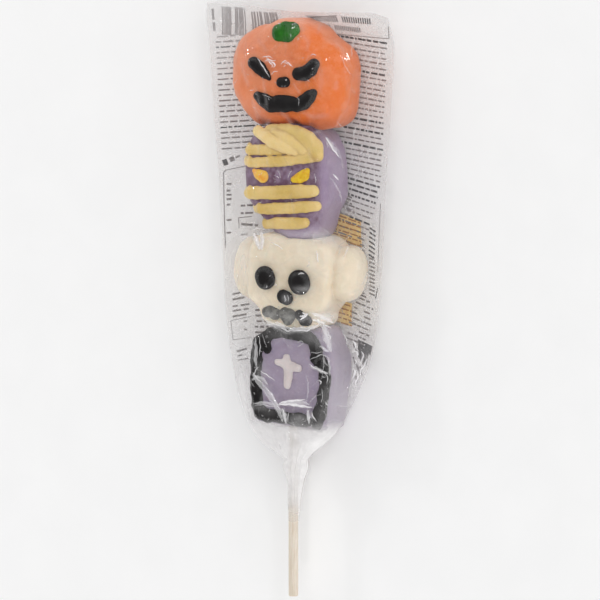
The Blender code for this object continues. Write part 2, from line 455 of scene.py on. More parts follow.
def film(name, base, haze_scale, haze_add, rough, mirror_flat):
    """Thin clear film: what is behind it shows straight through, apart from what it mirrors and a little milkiness."""
    mat, nt, p = shader(name)
    obj = nt.nodes.new("ShaderNodeTexCoord").outputs["Object"]
    haze = node(nt, "ShaderNodeAttribute", attribute_name="haze").outputs["Fac"]
    cloud = noise_node(nt, obj, 90, 4.0, 0.6)
    haze = maths(nt, "MULTIPLY", haze, haze_scale)
    haze = maths(nt, "ADD", haze, haze_add)
    cloudy = maths(nt, "MULTIPLY_ADD", cloud.outputs["Fac"], 0.9, 0.55)
    haze = maths(nt, "MULTIPLY", haze, cloudy, clamp=True)
    p.inputs["Base Color"].default_value = (*base, 1)
    p.inputs["Roughness"].default_value = 0.45
    p.inputs["Specular IOR Level"].default_value = 0.2
    clear = nt.nodes.new("ShaderNodeBsdfTransparent")
    clear.inputs["Color"].default_value = (0.985, 0.985, 0.985, 1)
    milky = nt.nodes.new("ShaderNodeMixShader")
    nt.links.new(haze, milky.inputs["Fac"])
    nt.links.new(clear.outputs[0], milky.inputs[1])
    nt.links.new(p.outputs[0], milky.inputs[2])
    shine = nt.nodes.new("ShaderNodeBsdfGlossy")
    shine.inputs["Color"].default_value = (1, 1, 1, 1)
    shine.inputs["Roughness"].default_value = rough
    facing = nt.nodes.new("ShaderNodeLayerWeight")
    facing.inputs["Blend"].default_value = 0.5
    graze = maths(nt, "POWER", facing.outputs["Facing"], 5.0)
    mirror = maths(nt, "MULTIPLY_ADD", graze, 0.5, mirror_flat, clamp=True)
    top = nt.nodes.new("ShaderNodeMixShader")
    nt.links.new(mirror, top.inputs["Fac"])
    nt.links.new(milky.outputs[0], top.inputs[1])
    nt.links.new(shine.outputs[0], top.inputs[2])
    crinkle = noise_node(nt, obj, 420, 2.0, 0.5)
    bump = nt.nodes.new("ShaderNodeBump")
    bump.inputs["Strength"].default_value = 0.25
    bump.inputs["Distance"].default_value = 0.0001
    nt.links.new(crinkle.outputs["Fac"], bump.inputs["Height"])
    nt.links.new(bump.outputs["Normal"], shine.inputs["Normal"])
    out = nt.nodes["Material Output"]
    nt.links.new(top.outputs[0], out.inputs["Surface"])
    return mat


def ink(name, colour):
    mat, nt, p = shader(name)
    obj = nt.nodes.new("ShaderNodeTexCoord").outputs["Object"]
    worn = noise_node(nt, obj, 700, 2.0)
    shade = mix(
        nt,
        ramp(nt, worn.outputs["Fac"], [(0.3, (0, 0, 0)), (0.7, (1, 1, 1))]),
        tint(colour, 0.85),
        tint(colour, 1.25),
    )
    nt.links.new(shade, p.inputs["Base Color"])
    p.inputs["Roughness"].default_value = 0.5
    return mat


def wood(name):
    mat, nt, p = shader(name)
    obj = nt.nodes.new("ShaderNodeTexCoord").outputs["Object"]
    stretch = nt.nodes.new("ShaderNodeMapping")
    stretch.inputs["Scale"].default_value = (1.0, 0.05, 1.0)
    nt.links.new(obj, stretch.inputs["Vector"])
    grain = noise_node(nt, stretch.outputs[0], 1900, 4.0, 0.65)
    broad = noise_node(nt, stretch.outputs[0], 420, 2.0, 0.5)
    base = mix(
        nt,
        ramp(nt, grain.outputs["Fac"], [(0.35, (0, 0, 0)), (0.62, (1, 1, 1))]),
        srgb(212, 197, 178),
        srgb(232, 222, 208),
    )
    base = mix(
        nt,
        ramp(nt, broad.outputs["Fac"], [(0.4, (0, 0, 0)), (0.7, (0.5,) * 3)]),
        base,
        srgb(222, 209, 188),
    )
    nt.links.new(base, p.inputs["Base Color"])
    p.inputs["Roughness"].default_value = 0.6
    p.inputs["Specular IOR Level"].default_value = 0.3
    p.inputs["Subsurface Weight"].default_value = 0.05
    p.inputs["Subsurface Scale"].default_value = 0.001
    bump = nt.nodes.new("ShaderNodeBump")
    bump.inputs["Strength"].default_value = 0.5
    bump.inputs["Distance"].default_value = 0.00008
    nt.links.new(grain.outputs["Fac"], bump.inputs["Height"])
    nt.links.new(bump.outputs["Normal"], p.inputs["Normal"])
    return mat


ORANGE = marshmallow(
    "orange_foam",
    srgb(230, 142, 98),
    srgb(222, 130, 88),
    soft=0.25,
    dust=0.05,
    tone=srgb(232, 112, 4),
    shaded=srgb(196, 92, 30),
)
LILAC = marshmallow(
    "lilac_foam", srgb(160, 140, 166), srgb(147, 125, 154), soft=0.22, dust=0.08, shaded=srgb(106, 74, 98)
)
PALE_LILAC = marshmallow("coffin_foam", srgb(166, 153, 171), srgb(154, 140, 162), soft=0.22, dust=0.08)
CREAM = marshmallow("cream_foam", srgb(238, 225, 204), srgb(232, 217, 192), soft=0.3, dust=0.06)
YELLOW = piped(
    "yellow_strand",
    srgb(222, 192, 116),
    srgb(208, 176, 94),
    dust=0.05,
    tone=srgb(240, 211, 148),
    shaded=srgb(170, 128, 88),
)
ORANGE_EYE = piped("orange_eye", srgb(246, 196, 84), srgb(240, 160, 42), dust=0.02, patch=420)
YELLOW_EYE = piped("yellow_eye", srgb(238, 204, 40), srgb(222, 166, 20), dust=0.02, patch=420)
BLACK = piped("black_piping", srgb(16, 11, 12), srgb(7, 5, 6), rough=0.38, soft=0.0, dust=0.002, specular=0.14)
GREY = piped(
    "grey_piping",
    srgb(122, 121, 114),
    srgb(66, 64, 60),
    rough=0.5,
    soft=0.0,
    dust=0.03,
    patch=620,
    specular=0.15,
    tone=srgb(16, 14, 14),
    shaded=srgb(14, 12, 12),
)
GREEN = piped("green_piping", srgb(34, 112, 14), srgb(14, 76, 8), rough=0.38, soft=0.1, dust=0.008, specular=0.12)
CROSS = piped("pale_piping", srgb(222, 211, 209), srgb(208, 195, 194), rough=0.5, dust=0.05)
STICK_WOOD = wood("pale_stick_wood")
FILM_FRONT = film("clear_film_front", srgb(243, 241, 241), 1.0, 0.0, 0.06, 0.028)
FILM_BACK = film("clear_film_back", srgb(226, 221, 219), 1.0, 0.0, 0.14, 0.03)
FILM_FOLD = film("clear_film_fold", srgb(250, 248, 250), 1.0, 0.0, 0.10, 0.09)
INK = ink("grey_ink", srgb(124, 117, 117))
DARK_INK = ink("dark_ink", srgb(46, 42, 45))
TAN_INK = ink("tan_ink", srgb(255, 208, 132))
BROWN_INK = ink("brown_ink", srgb(172, 114, 44))

# ------------------------------------------------------------------ marshmallow bodies
BACK = 0.35  # the bodies' flat backs lie on the back film
BODY_STEP = 0.95


def folds(p, lines, base_z=27.0):
    """Soft dents along lines given as view points, with a depth and a width in mm, in the upper side only."""
    x, y, z = p[..., 0], p[..., 1], p[..., 2]
    dent = np.zeros(x.shape)
    for line, depth, width in lines:
        pts = [at_view(px, py, base_z) for px, py in line]
        best = np.full(x.shape, 1e9)
        for (x0, y0), (x1, y1) in zip(pts, pts[1:]):
            e2 = (x1 - x0) ** 2 + (y1 - y0) ** 2
            t = np.clip(((x - x0) * (x1 - x0) + (y - y0) * (y1 - y0)) / e2, 0, 1)
            best = np.minimum(best, np.hypot(x - x0 - t * (x1 - x0), y - y0 - t * (y1 - y0)))
        dent = np.maximum(dent, depth * np.exp(-((best / width) ** 2)))
    return dent * smooth((z - 8.0) / 10.0)


def pumpkin_shape(p):
    x, y = turned(p[..., 0], p[..., 1], -1.0, 98.2, 0.0)
    z = p[..., 2]
    # The right shoulder falls away, and the top stands up a little beside the stem.
    drop = 3.4 * smooth((x - 4.0) / 4.4) * smooth((y - 7.0) / 10.0)
    crown = 1.4 * smooth((7.0 - x) / 3.2) * smooth((x + 10.0) / 5.0) * smooth((y - 10.0) / 8.0)
    flat = oval(x, y + drop - crown, 27.4, 22.5, 2.3)
    flat = soft_min(flat, oval(x - 12.5, y + 8.4, 14.2, 15.0, 2.7), 2.5)
    flat = soft_min(flat, oval(x + 7.0, y + 9.6, 14.5, 13.6, 2.5), 2.5)
    flat = soft_min(flat, oval(x - 2.0, y - 14.0, 14.0, 9.3, 2.2), 2.5)
    body = slab(flat, z, BACK, 27.4, 7.0, 10.5)
    # Soft ribs run from the stem to the base.
    reach = np.sqrt(np.clip(1 - (y / 25.5) ** 2, 0.05, 1))
    groove = np.zeros(x.shape)
    for at, depth in ((-18.0, 0.7), (7.5, 0.8), (20.5, 0.9)):
        d = (x - at * reach) / (1.8 + 1.4 * reach)
        groove = np.maximum(groove, depth * np.exp(-(d**2)) * smooth((z - 6) / 12))
    groove *= 0.25 + 0.75 * smooth((np.abs(y + 1) - 6) / 13)
    return body + groove


PUMPKIN_FOLDS = [
    ([(281, 112), (287, 120), (294, 128)], 1.0, 1.5),
    ([(303, 30), (305, 42), (302, 58)], 0.6, 1.3),
    ([(250, 98), (253, 110), (258, 124)], 0.7, 1.3),
    ([(320, 96), (331, 112), (337, 127)], 0.5, 2.0),
    ([(262, 117), (265, 127)], 0.5, 1.1),
    ([(240, 52), (246, 66), (246, 84)], 0.4, 1.8),
]


def pumpkin_field(p):
    return pumpkin_shape(p) + folds(p, PUMPKIN_FOLDS)


def mummy_shape(p):
    x, y = turned(p[..., 0], p[..., 1], -0.5, 53.2, 3.0)
    z = p[..., 2]
    chin = np.where(x < 0, 1 - 0.36 * smooth((-4 - y) / 18), 1 - 0.30 * smooth((-6 - y) / 20))
    flat = oval(x / chin, y, 20.6, 25.0, 2.8) * chin
    flat = soft_min(flat, oval(x - 5.0, y + 12.5, 10.6, 15.2, 2.6), 2.0)
    body = slab(flat, z, BACK, 26.4, 5.0, 6.0)
    return body + 0.5 * smooth(np.hypot(x / 20, y / 24) - 0.2)


def mummy_field(p):
    return np.maximum(mummy_shape(p), -(pumpkin_shape(p) + 0.25))


def skull_shape(p):
    x, y = turned(p[..., 0], p[..., 1], 1.2, 8.6, -4.0)
    z = p[..., 2]
    cranium = slab(oval(x + 0.3, y - 4.4, 19.5, 16.8, 4.4), z, BACK, 26.6, 5.0, 3.5)
    jaw = slab(oval(x - 0.5, y + 9.5 + 0.10 * np.minimum(x, 0), 14.5, 10.2, 4.0), z, BACK, 26.0, 5.0, 3.6)
    body = soft_min(cranium, jaw, 2.5)
    for cx, cy, rx, ry, top, k in ((21.7, 5.6, 7.8, 12.0, 23.4, 0.3), (-21.7, 4.4, 9.3, 13.6, 23.5, 1.2)):
        ball = slab(oval(x - cx, y - cy, rx, ry, 2.15), z, BACK + 1.4, top, 8.2, 9.6)
        body = soft_min(body, ball, k)
    return body


def skull_field(p):
    dent = folds(p, [([(258, 262), (260, 284), (262, 298)], 0.25, 1.6)])
    return np.maximum(skull_shape(p) + dent, -(mummy_shape(p) + 0.25))


COFFIN_OUTLINE = [
    (-11.0, 22.4), (13.4, 22.4), (19.6, 9.5), (19.8, 2.0), (16.8, -22.6), (-17.0, -19.6), (-19.2, 3.0), (-18.6, 10.0),
]


def coffin_field(p):
    x, y = turned(p[..., 0], p[..., 1], 1.4, -32.0, -2.0)
    z = p[..., 2]
    inset = [(cx * 0.84, cy * 0.86) for cx, cy in COFFIN_OUTLINE]
    flat = polygon(x, y, inset) - 3.1
    body = slab(flat, z, BACK, 24.4, 4.5, 4.6)
    return np.maximum(body, -(skull_shape(p) + 0.25))


def make_body(name, field, lo, hi, mat, seed):
    step = BODY_STEP
    grid = grid_of(lo, hi, step)
    flatgrid = grid.reshape(-1, 3)
    values = field(grid)
    values = values + (0.55 * noise(flatgrid, 11.0, seed) + 0.25 * noise(flatgrid, 5.0, seed + 1)).reshape(
        values.shape
    ) * smooth((grid[..., 2] - 2.0) / 5.0)
    points, quads = skin(values, grid[0, 0, 0], step)
    points[:, 2] = np.maximum(points[:, 2], BACK - 0.1)
    obj = mesh_object(name, points, quads, mat)
    sub = obj.modifiers.new("fine", "SUBSURF")
    sub.levels = sub.render_levels = 1
    dg = bpy.context.evaluated_depsgraph_get()
    dense = bpy.data.meshes.new_from_object(obj.evaluated_get(dg))
    obj.modifiers.clear()
    old = obj.data
    obj.data = dense
    bpy.data.meshes.remove(old)
    dense.name = name
    points, normals = mesh_points(dense), mesh_normals(dense)
    push = 0.10 * noise(points, 2.6, seed + 2) + 0.05 * noise(points, 1.1, seed + 3)
    # A few pores and dents, as foam has.
    pore = noise(points, 3.3, seed + 4)
    push -= 0.28 * smooth((pore - 0.62) / 0.25)
    points += normals * (push * smooth((points[:, 2] - 0.8) / 2.0))[:, None]
    dense.vertices.foreach_set("co", (points * MM).astype(np.float32).ravel())
    dense.update()
    dense.shade_smooth()
    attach(obj, "root")
    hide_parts("sealed_bag")
    return obj


pumpkin = make_body("pumpkin", pumpkin_field, (-31, 72, -1.5), (30, 124, 31), ORANGE, 11)
mummy = make_body("mummy", mummy_field, (-24, 26, -1.5), (24, 80, 31), LILAC, 23)
skull = make_body("skull", skull_field, (-32, -14, -1.5), (35, 31, 31), CREAM, 37)
coffin = make_body("coffin", coffin_field, (-23, -58, -1.5), (26, -7, 31), PALE_LILAC, 41)


def tree_of(objects):
    points, faces, start = [], [], 0
    for obj in objects:
        p = mesh_points(obj.data)
        points.append(p)
        faces += [[v + start for v in f.vertices] for f in obj.data.polygons]
        start += len(p)
    return BVHTree.FromPolygons([Vector(v) for v in np.concatenate(points)], faces)


body_tree = {o.name: tree_of([o]) for o in (pumpkin, mummy, skull, coffin)}


def height_on(tree, x, y, miss=0.0):
    hit = tree.ray_cast(Vector((x, y, 80.0)), Vector((0, 0, -1.0)))
    return hit[0].z if hit[0] is not None else miss


def on_body(tree, px, py, z=27.0, miss=12.0):
    """The point of a body's front that shows at px, py."""
    for _ in range(5):
        x, y = at_view(px, py, z)
        z = 0.5 * z + 0.5 * height_on(tree, x, y, miss)
    x, y = at_view(px, py, z)
    return x, y, height_on(tree, x, y, miss)


# ------------------------------------------------------------------ piped features
def strand(tree, beads, sink):
    """Beads (px, py, r px, and a lift in mm) laid on a body: world x, y, z, r."""
    out = []
    for px, py, r, *up in through(beads, 6.0):
        x, y, z = on_body(tree, px, py)
        out.append((x, y, z + r * MM_PER_PX * (0.5 - sink) + (up[0] if up else 0.0), r * MM_PER_PX))
    return out


def make_piping(
    name, tree, strands, mat, squash=0.62, sink=0.35, blend=0.5, step=0.45, seed=3, lumps=0.22, sides=(), rim=(), tints=None, mottle=(5.0, 0.35), contact_shade_depth=0.5
):
    rows = [strand(tree, beads, sink) for beads in strands]
    round_rows = [round_side(tree, px, py, r) + [on_body(tree, px, py) + (r * MM_PER_PX,)] for px, py, r in sides]
    if rim:
        round_rows.append([round_side(tree, px, py, r, (high,))[0] for px, py, r, high in rim])
    every = np.array([b for row in rows + round_rows for b in row])
    lo = (every[:, :3] - every[:, 3:]).min(axis=0) - 1.5
    hi = (every[:, :3] + every[:, 3:]).max(axis=0) + 1.5
    step = step * 1.0
    grid = grid_of(lo, hi, step)
    field = np.full(grid.shape[:-1], 1e9)
    for row, flatten in [(r, squash) for r in rows] + [(r, 1.0) for r in round_rows]:
        b = np.array(row)
        a0 = np.maximum(((b[:, :3] - b[:, 3:]).min(axis=0) - 2.0 - lo) / step, 0).astype(int)
        a1 = (((b[:, :3] + b[:, 3:]).max(axis=0) + 2.0 - lo) / step).astype(int) + 2
        box = tuple(slice(i, j) for i, j in zip(a0, a1))
        bead = strand_distance(grid[box], row) if flatten == 1.0 else chain(grid[box], row, squash)
        field[box] = soft_min(field[box], bead, blend)
    flat = grid.reshape(-1, 3)
    wob = lumps * noise(flat, 3.4, seed) + 0.4 * lumps * noise(flat, 1.5, seed + 1)
    field = field + wob.reshape(field.shape)
    points, quads = skin(field, grid[0, 0, 0], step)
    obj = mesh_object(name, points, quads, mat)
    sm = obj.modifiers.new("soften", "SMOOTH")
    sm.factor, sm.iterations = 0.5, 2
    sub = obj.modifiers.new("fine", "SUBSURF")
    sub.levels = sub.render_levels = 1
    dg = bpy.context.evaluated_depsgraph_get()
    dense = bpy.data.meshes.new_from_object(obj.evaluated_get(dg))
    obj.modifiers.clear()
    old = obj.data
    obj.data = dense
    bpy.data.meshes.remove(old)
    dense.shade_smooth()
    # Painted shade where strands touch (the "deep" attribute), and each strand a little lighter or deeper in its own
    # colour.
    at = mesh_points(dense)
    gaps = np.stack([chain(at, row, squash) if len(row) > 1 else np.full(len(at), 1e3) for row in rows])
    order = np.sort(gaps, axis=0)
    contact_shade = 1 - smooth((order[1] + 0.1) / 1.1) if len(rows) > 1 else np.zeros(len(at))
    contact_shade *= contact_shade_depth * (0.7 + 0.7 * noise(at, 4.0, seed + 6))
    shares = tints or [0.15 + 0.55 * ((k * 37 + seed) % 11) / 10.0 for k in range(len(rows))]
    own = np.array(shares)[np.argmin(gaps, axis=0)]
    float_layer(obj, "deep", np.clip(contact_shade, 0, 1))
    float_layer(obj, "tone", np.clip(own + mottle[1] * noise(at, mottle[0], seed + 5), 0, 1))
    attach(obj, "root")
    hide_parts("sealed_bag")
    return obj


P, M, K, C = (body_tree[n] for n in ("pumpkin", "mummy", "skull", "coffin"))


def round_side(tree, px, py, r, heights=(22.0, 18.5, 15.0)):
    """Beads that carry a strand over the left edge of a body and down its side."""
    x, y, z = on_body(tree, px, py)
    out = []
    for high, share in zip(heights, (1.0, 0.9, 0.7)):
        hit = tree.ray_cast(Vector((-80.0, y, high)), Vector((1.0, 0, 0)))
        if hit[0] is not None:
            out.append((hit[0].x + 0.75, y, high, r * MM_PER_PX * share))
    return out[::-1]


features = [
    make_piping("pumpkin_stem", P, [[(280.4, 33.0, 8.2), (287, 32.2, 10.0), (293.6, 30.8, 8.2)], [(279.6, 35.4, 6.4), (288, 35.6, 7.0)]], GREEN, squash=0.5, sink=0.3, blend=2.0, seed=5, lumps=0.2),
    make_piping(
        "pumpkin_face",
        P,
        [
            [(254.5, 63.5, 6.6), (260, 68.5, 6.9), (265.5, 74.5, 5.2), (269.5, 79, 2.8)],
            [(298.5, 75, 6.8), (305, 74.5, 7.6), (311.5, 70, 7.4), (314.5, 65.5, 6.2)],
            [(281.4, 83.0, 5.6), (285.4, 82.8, 5.8)],
            [(258, 96, 4.8), (265, 101, 7.2), (272, 105, 8.2), (278, 107, 6.2)],
            [(279, 103.5, 8.2), (286, 104.5, 8.6), (293, 104.5, 7.8)],
            [(297, 107, 6.6), (304, 103, 7.8), (310, 97.5, 6.8), (313.5, 94, 4.6)],
        ],
        BLACK,
        squash=0.5,
        seed=7,
        lumps=0.15,
    ),
    make_piping(
        "mummy_strips",
        M,
        [
            [(270, 130.5, 6.0, -0.2), (282, 130.5, 6.6, 0.0), (296, 133, 7.4, 0.1), (308, 139.5, 8.2, 0.1), (315.5, 148, 8.4, 0.0), (317, 155, 7.6, -0.1)],
            [(276, 132, 5.2, 0.6), (286, 137.5, 6.0, 0.8), (297, 144.5, 6.0, 0.7), (303.5, 151, 5.2, 0.4)],
            [(259.5, 131.5, 6.0, 0.8), (268, 137.5, 6.3, 1.3), (279, 144, 6.2, 1.5), (290, 149, 5.6, 1.3), (296, 151.5, 4.6, 0.9)],
            [(250.5, 150.2, 5.6, 0.0), (262, 150.2, 5.7, 0.0), (276, 150.2, 5.5, 0.0), (287, 150.6, 4.8, -0.2)],
            [(250.5, 162.6, 5.2, 0.0), (265, 162.6, 5.4, 0.1), (285, 161.0, 5.4, 0.1), (303, 158.8, 5.6, 0.0), (317, 157, 5.6, -0.1)],
            [(250.5, 193.2, 6.6, 0.0), (265, 193.0, 6.6, 0.0), (283, 192.4, 6.9, 0.0), (301, 191.8, 6.8, 0.0), (313.5, 191.2, 6.2, 0.0)],
            [(262, 208.8, 5.5, 0.0), (274, 208.8, 5.8, 0.0), (290, 208.2, 5.9, 0.0), (306, 207.4, 6.0, 0.0), (316.5, 206.8, 5.4, 0.0)],
            [(267, 223.0, 5.9, 0.0), (278, 223.2, 6.1, 0.0), (292, 223.6, 6.1, 0.0), (305, 223.0, 5.6, 0.0)],
        ],
        YELLOW,
        squash=0.72,
        sink=0.42,
        blend=0.0,
        step=0.49,
        seed=9,
        lumps=0.24,
        tints=(0.30, 0.75, 0.95, 0.22, 0.42, 0.16, 0.30, 0.20),
        mottle=(7.0, 0.45),
        sides=((250.5, 149.5, 6.2), (250.5, 162, 6.0), (250.5, 192.6, 7.4), (260, 208, 6.2), (266, 222.4, 6.2)),
    ),
    make_piping(
        "mummy_eye_left",
        M,
        [[(254.5, 171.0, 2.8), (259, 174.5, 5.4), (263, 176.6, 6.8)]],
        ORANGE_EYE,
        squash=0.4,
        seed=11,
        lumps=0.08,
    ),
    make_piping(
        "mummy_eye_right",
        M,
        [[(307.4, 171.4, 3.6), (304.5, 175.6, 6.0), (299.5, 178.4, 5.6), (294, 179.8, 3.8)]],
        YELLOW_EYE,
        squash=0.4,
        seed=12,
        lumps=0.08,
    ),
    make_piping(
        "skull_face",
        K,
        [
            [(266.2, 276.4, 11.0), (266.9, 278.8, 11.0)],
            [(300.4, 281.2, 12.0), (301.0, 283.0, 12.0)],
            [(284.6, 296.6, 7.6), (287.4, 298, 7.4)],
            [(300.0, 314.6, 5.4), (301.2, 316.4, 5.2)],
            [(303.4, 321.4, 4.6), (308, 320.6, 5.6)],
        ],
        BLACK,
        squash=0.4,
        sink=0.2,
        seed=13,
        lumps=0.1,
    ),
    make_piping(
        "skull_teeth",
        K,
        [
            [(267.5, 312, 6.0, 0.0), (271.5, 310.5, 5.0, 0.1), (275, 313.5, 6.4, 0.0)],
            [(286, 313.5, 7.0, 0.3), (290, 315, 7.2, 0.2), (288.5, 319, 6.8, 0.1)],
        ],
        GREY,
        squash=0.36,
        seed=15,
        lumps=0.34,
        blend=0.0,
        tints=(0.28, 0.22),
        mottle=(1.9, 0.75),
        contact_shade_depth=0.9,
    ),
    make_piping(
        "coffin_frame",
        C,
        [
            [(270, 333, 6.0, 0.0), (279, 331.8, 6.0, 0.2), (288, 333.2, 5.4, 0.0)],
            [(289, 333.2, 5.6, 0.1), (298, 334.0, 6.2, 0.2), (307, 337, 6.6, 0.0), (312, 339.5, 6.4, 0.0)],
            [(267, 336.5, 6.8, 0.2), (261, 343, 8.2, 0.4), (258.5, 349, 7.0, 0.2)],
            [(266.0, 343, 5.4, 0.1), (267.4, 349, 4.8, 0.0)],
            [(257.2, 351, 6.4, 0.1), (256.6, 361, 6.6, 0.3), (256.4, 370, 5.8, 0.0)],
            [(256.4, 376, 6.0, 0.1), (256.8, 388, 6.6, 0.3), (257.4, 399, 6.4, 0.1)],
            [(257.4, 404.6, 6.6, 0.0), (261.0, 412.8, 7.4, 0.2), (269.4, 416.0, 7.2, 0.2)],
            [(272, 415, 6.8, 0.0), (280, 417, 6.6, 0.1), (287, 418, 6.2, 0.0)],
            [(290, 418.5, 6.4, 0.1), (299, 419.5, 6.8, 0.2), (307, 421, 6.4, 0.0)],
            [(314, 343.5, 6.2, 0.2), (317, 350, 7.0, 0.3)],
            [(316.5, 359, 6.6, 0.1), (321, 362.5, 7.8, 0.4), (324.5, 366, 6.2, 0.2)],
            [(324.8, 369, 5.8, 0.1), (325.6, 378, 6.4, 0.3), (325.2, 384, 6.0, 0.0)],
            [(324.6, 388, 6.2, 0.1), (323.6, 395, 6.8, 0.3), (322.6, 401, 6.4, 0.1)],
            [(321.8, 405, 6.8, 0.1), (319.8, 414, 7.8, 0.3), (317.4, 422.6, 7.2, 0.1)],
        ],
        BLACK,
        squash=0.6,
        step=0.48,
        sink=0.36,
        seed=17,
        lumps=0.36,
        blend=0.12,
        rim=(
            (260, 343, 5.2, 22.2), (258, 349, 6.4, 21.8), (256.6, 357, 6.9, 21.6), (256.4, 366, 6.4, 22.0), (256.4, 375, 6.8, 21.8),
            (256.6, 384, 6.5, 22.2), (257, 393, 6.9, 22.0), (258, 401, 6.3, 22.2), (261, 409, 5.6, 22.6),
        ),
    ),
    make_piping(
        "coffin_cross",
        C,
        [
            [(286.8, 357.5, 4.2), (288, 366, 5.4), (288.5, 377, 4.8), (287.5, 385, 4.6)],
            [(277.5, 361.8, 3.6), (284, 363.4, 4.6), (292, 366, 4.9), (298.8, 368.6, 4.2)],
        ],
        CROSS,
        squash=0.4,
        seed=19,
        lumps=0.15,
    ),
]
contents = [pumpkin, mummy, skull, coffin, *features]

# Where the orange turns a deeper orange ("tone"); and painted shade ("deep"): the pumpkin darker towards its bottom and
# its lower sides, and the lilac darker between the strips, there partly painted shade and partly a darker lilac.
spots = mesh_points(pumpkin.data)
tone = 0.30 + 0.45 * noise(spots, 13.0, 61) + 0.75 * smooth((spots[:, 0] - 3) / 13)
tone += 0.8 * smooth((86.5 - spots[:, 1]) / 7) * smooth((spots[:, 0] + 6) / 8)
float_layer(pumpkin, "tone", np.clip(tone - 0.12, 0, 1))
# Painted shade: the pumpkin darker towards its bottom, and a little darker low on its sides near the floor.
low = smooth((86.5 - spots[:, 1]) / 9) * (0.55 + 0.3 * noise(spots, 6.0, 62))
painted_shade_low_sides = smooth((13.0 - spots[:, 2]) / 9) * 0.25
float_layer(pumpkin, "deep", np.clip(low + painted_shade_low_sides, 0, 0.8))
spots = mesh_points(mummy.data)
# Painted shade on the mummy's front between the strips: partly the strips' shadow, partly a darker lilac of the body.
lo_x, lo_y = at_view(246, 229, 26.0)
hi_x, hi_y = at_view(323, 128, 26.0)
inside = smooth((hi_x - spots[:, 0]) / 4.5) * smooth((spots[:, 1] - lo_y - 0.5) / 4.0) * smooth((spots[:, 2] - 17) / 7)
shade_and_tint_noise = 0.80 + 0.3 * noise(spots, 5.0, 63) + 0.45 * noise(spots, 1.5, 64)
float_layer(mummy, "deep", np.clip(inside * shade_and_tint_noise, 0, 1.0))
content_tree = tree_of(contents)

# ------------------------------------------------------------------ the film bag
TOP_Y, NECK_Y, TAIL_END_Y = 124.5, -68.0, -95.0
RIM_Z = 11.0
EDGE_STATIONS = (
    (124.5, -44.2, 41.6),
    (118.0, -44.4, 43.4),
    (112.0, -43.4, 44.4),
    (86.0, -41.4, 43.2),
    (52.0, -38.6, 40.8),
    (18.0, -36.5, 39.0),
    (0.0, -35.6, 37.6),
    (-21.0, -33.3, 34.4),
    (-38.0, -29.6, 28.2),
    (-47.0, -26.3, 23.8),
    (-56.0, -21.6, 18.2),
    (-61.5, -16.4, 12.4),
    (-65.0, -10.4, 8.0),
    (-68.0, -5.35, 5.05),
)
TAIL_STATIONS = (
    (-68.0, -0.15, 5.2),
    (-71.2, -0.45, 5.75),
    (-77.0, -0.55, 3.85),
    (-85.5, -1.15, 2.95),
    (-95.0, -1.6, 2.5),
)
NECK_R = TAIL_STATIONS[0][2]


def rim_height(y):
    return RIM_Z + (MID_Z - RIM_Z) * smooth((-25.0 - y) / 40.0)


TOP_EDGE = (
    (0.0, 3.0),
    (-0.095, 2.85),
    (-0.18, 2.6),
    (-0.27, 2.0),
    (-0.36, 1.0),
    (-0.52, 0.2),
    (-0.75, 0.45),
    (-0.9, 0.6),
    (-1.0, -1.4),
)


def top_edge(u):
    return stations(TOP_EDGE, 1, -np.asarray(u, float))


def film_places(nu, ny):
    """x, y of the film's grid, from the top seal to the waist."""
    y = np.linspace(TOP_Y, NECK_Y, ny)
    u = np.linspace(0.0, 1.0, nu)
    left, right = stations(EDGE_STATIONS, 1, y), stations(EDGE_STATIONS, 2, y)
    round_u = (1 - np.cos(np.pi * u)) / 2
    w = smooth((-40.0 - y) / 28.0)[:, None]
    share = u[None, :] * (1 - w) + round_u[None, :] * w
    x = left[:, None] + (right - left)[:, None] * share
    near_top = smooth((y - 95.0) / 29.5)[:, None]
    yy = y[:, None] + near_top * top_edge(share)
    return x, yy, y, share


def cast(tree, x, y, from_above, miss):
    out = np.full(x.size, miss)
    start, way = (80.0, -1.0) if from_above else (-80.0, 1.0)
    for i, (a, b) in enumerate(zip(x.ravel(), y.ravel())):
        hit = tree.ray_cast(Vector((a, b, start)), Vector((0, 0, way)))
        if hit[0] is not None:
            out[i] = hit[0].z
    return out.reshape(x.shape)


def relax(x, y, fixed, start, bound, above, rounds):
    """A stretched membrane: held where fixed, kept on one side of the bound elsewhere."""
    z = start.copy()
    dx = (x[:, 2:] - x[:, :-2])[1:-1] / 2
    dy = np.abs(y[2:] - y[:-2])[:, 1:-1] / 2
    dx2, dy2 = dx**2 + 1e-9, dy**2 + 1e-9
    move = ~fixed[1:-1, 1:-1]
    for _ in range(rounds):
        mean = ((z[1:-1, 2:] + z[1:-1, :-2]) / dx2 + (z[2:, 1:-1] + z[:-2, 1:-1]) / dy2) / (
            2 / dx2 + 2 / dy2
        )
        inner = z[1:-1, 1:-1]
        inner[move] = mean[move]
        if above:
            np.maximum(z, bound, out=z)
        else:
            np.minimum(z, bound, out=z)
            np.maximum(z, 0.12, out=z)
        z[fixed] = start[fixed]
    return z


def finer(grid, ny, nu):
    """The same surface read on a finer grid, smoothly."""

    def along(a, n):
        m = a.shape[0]
        t = np.linspace(0, m - 1, n)
        i = np.clip(t.astype(int), 0, m - 2)
        f = (t - i)[:, None]
        p = [a[np.clip(i + k, 0, m - 1)] for k in (-1, 0, 1, 2)]
        return 0.5 * (
            2 * p[1]
            + (p[2] - p[0]) * f
            + (2 * p[0] - 5 * p[1] + 4 * p[2] - p[3]) * f**2
            + (3 * p[1] - 3 * p[2] + p[3] - p[0]) * f**3
        )

    return along(along(grid, ny).T, nu).T


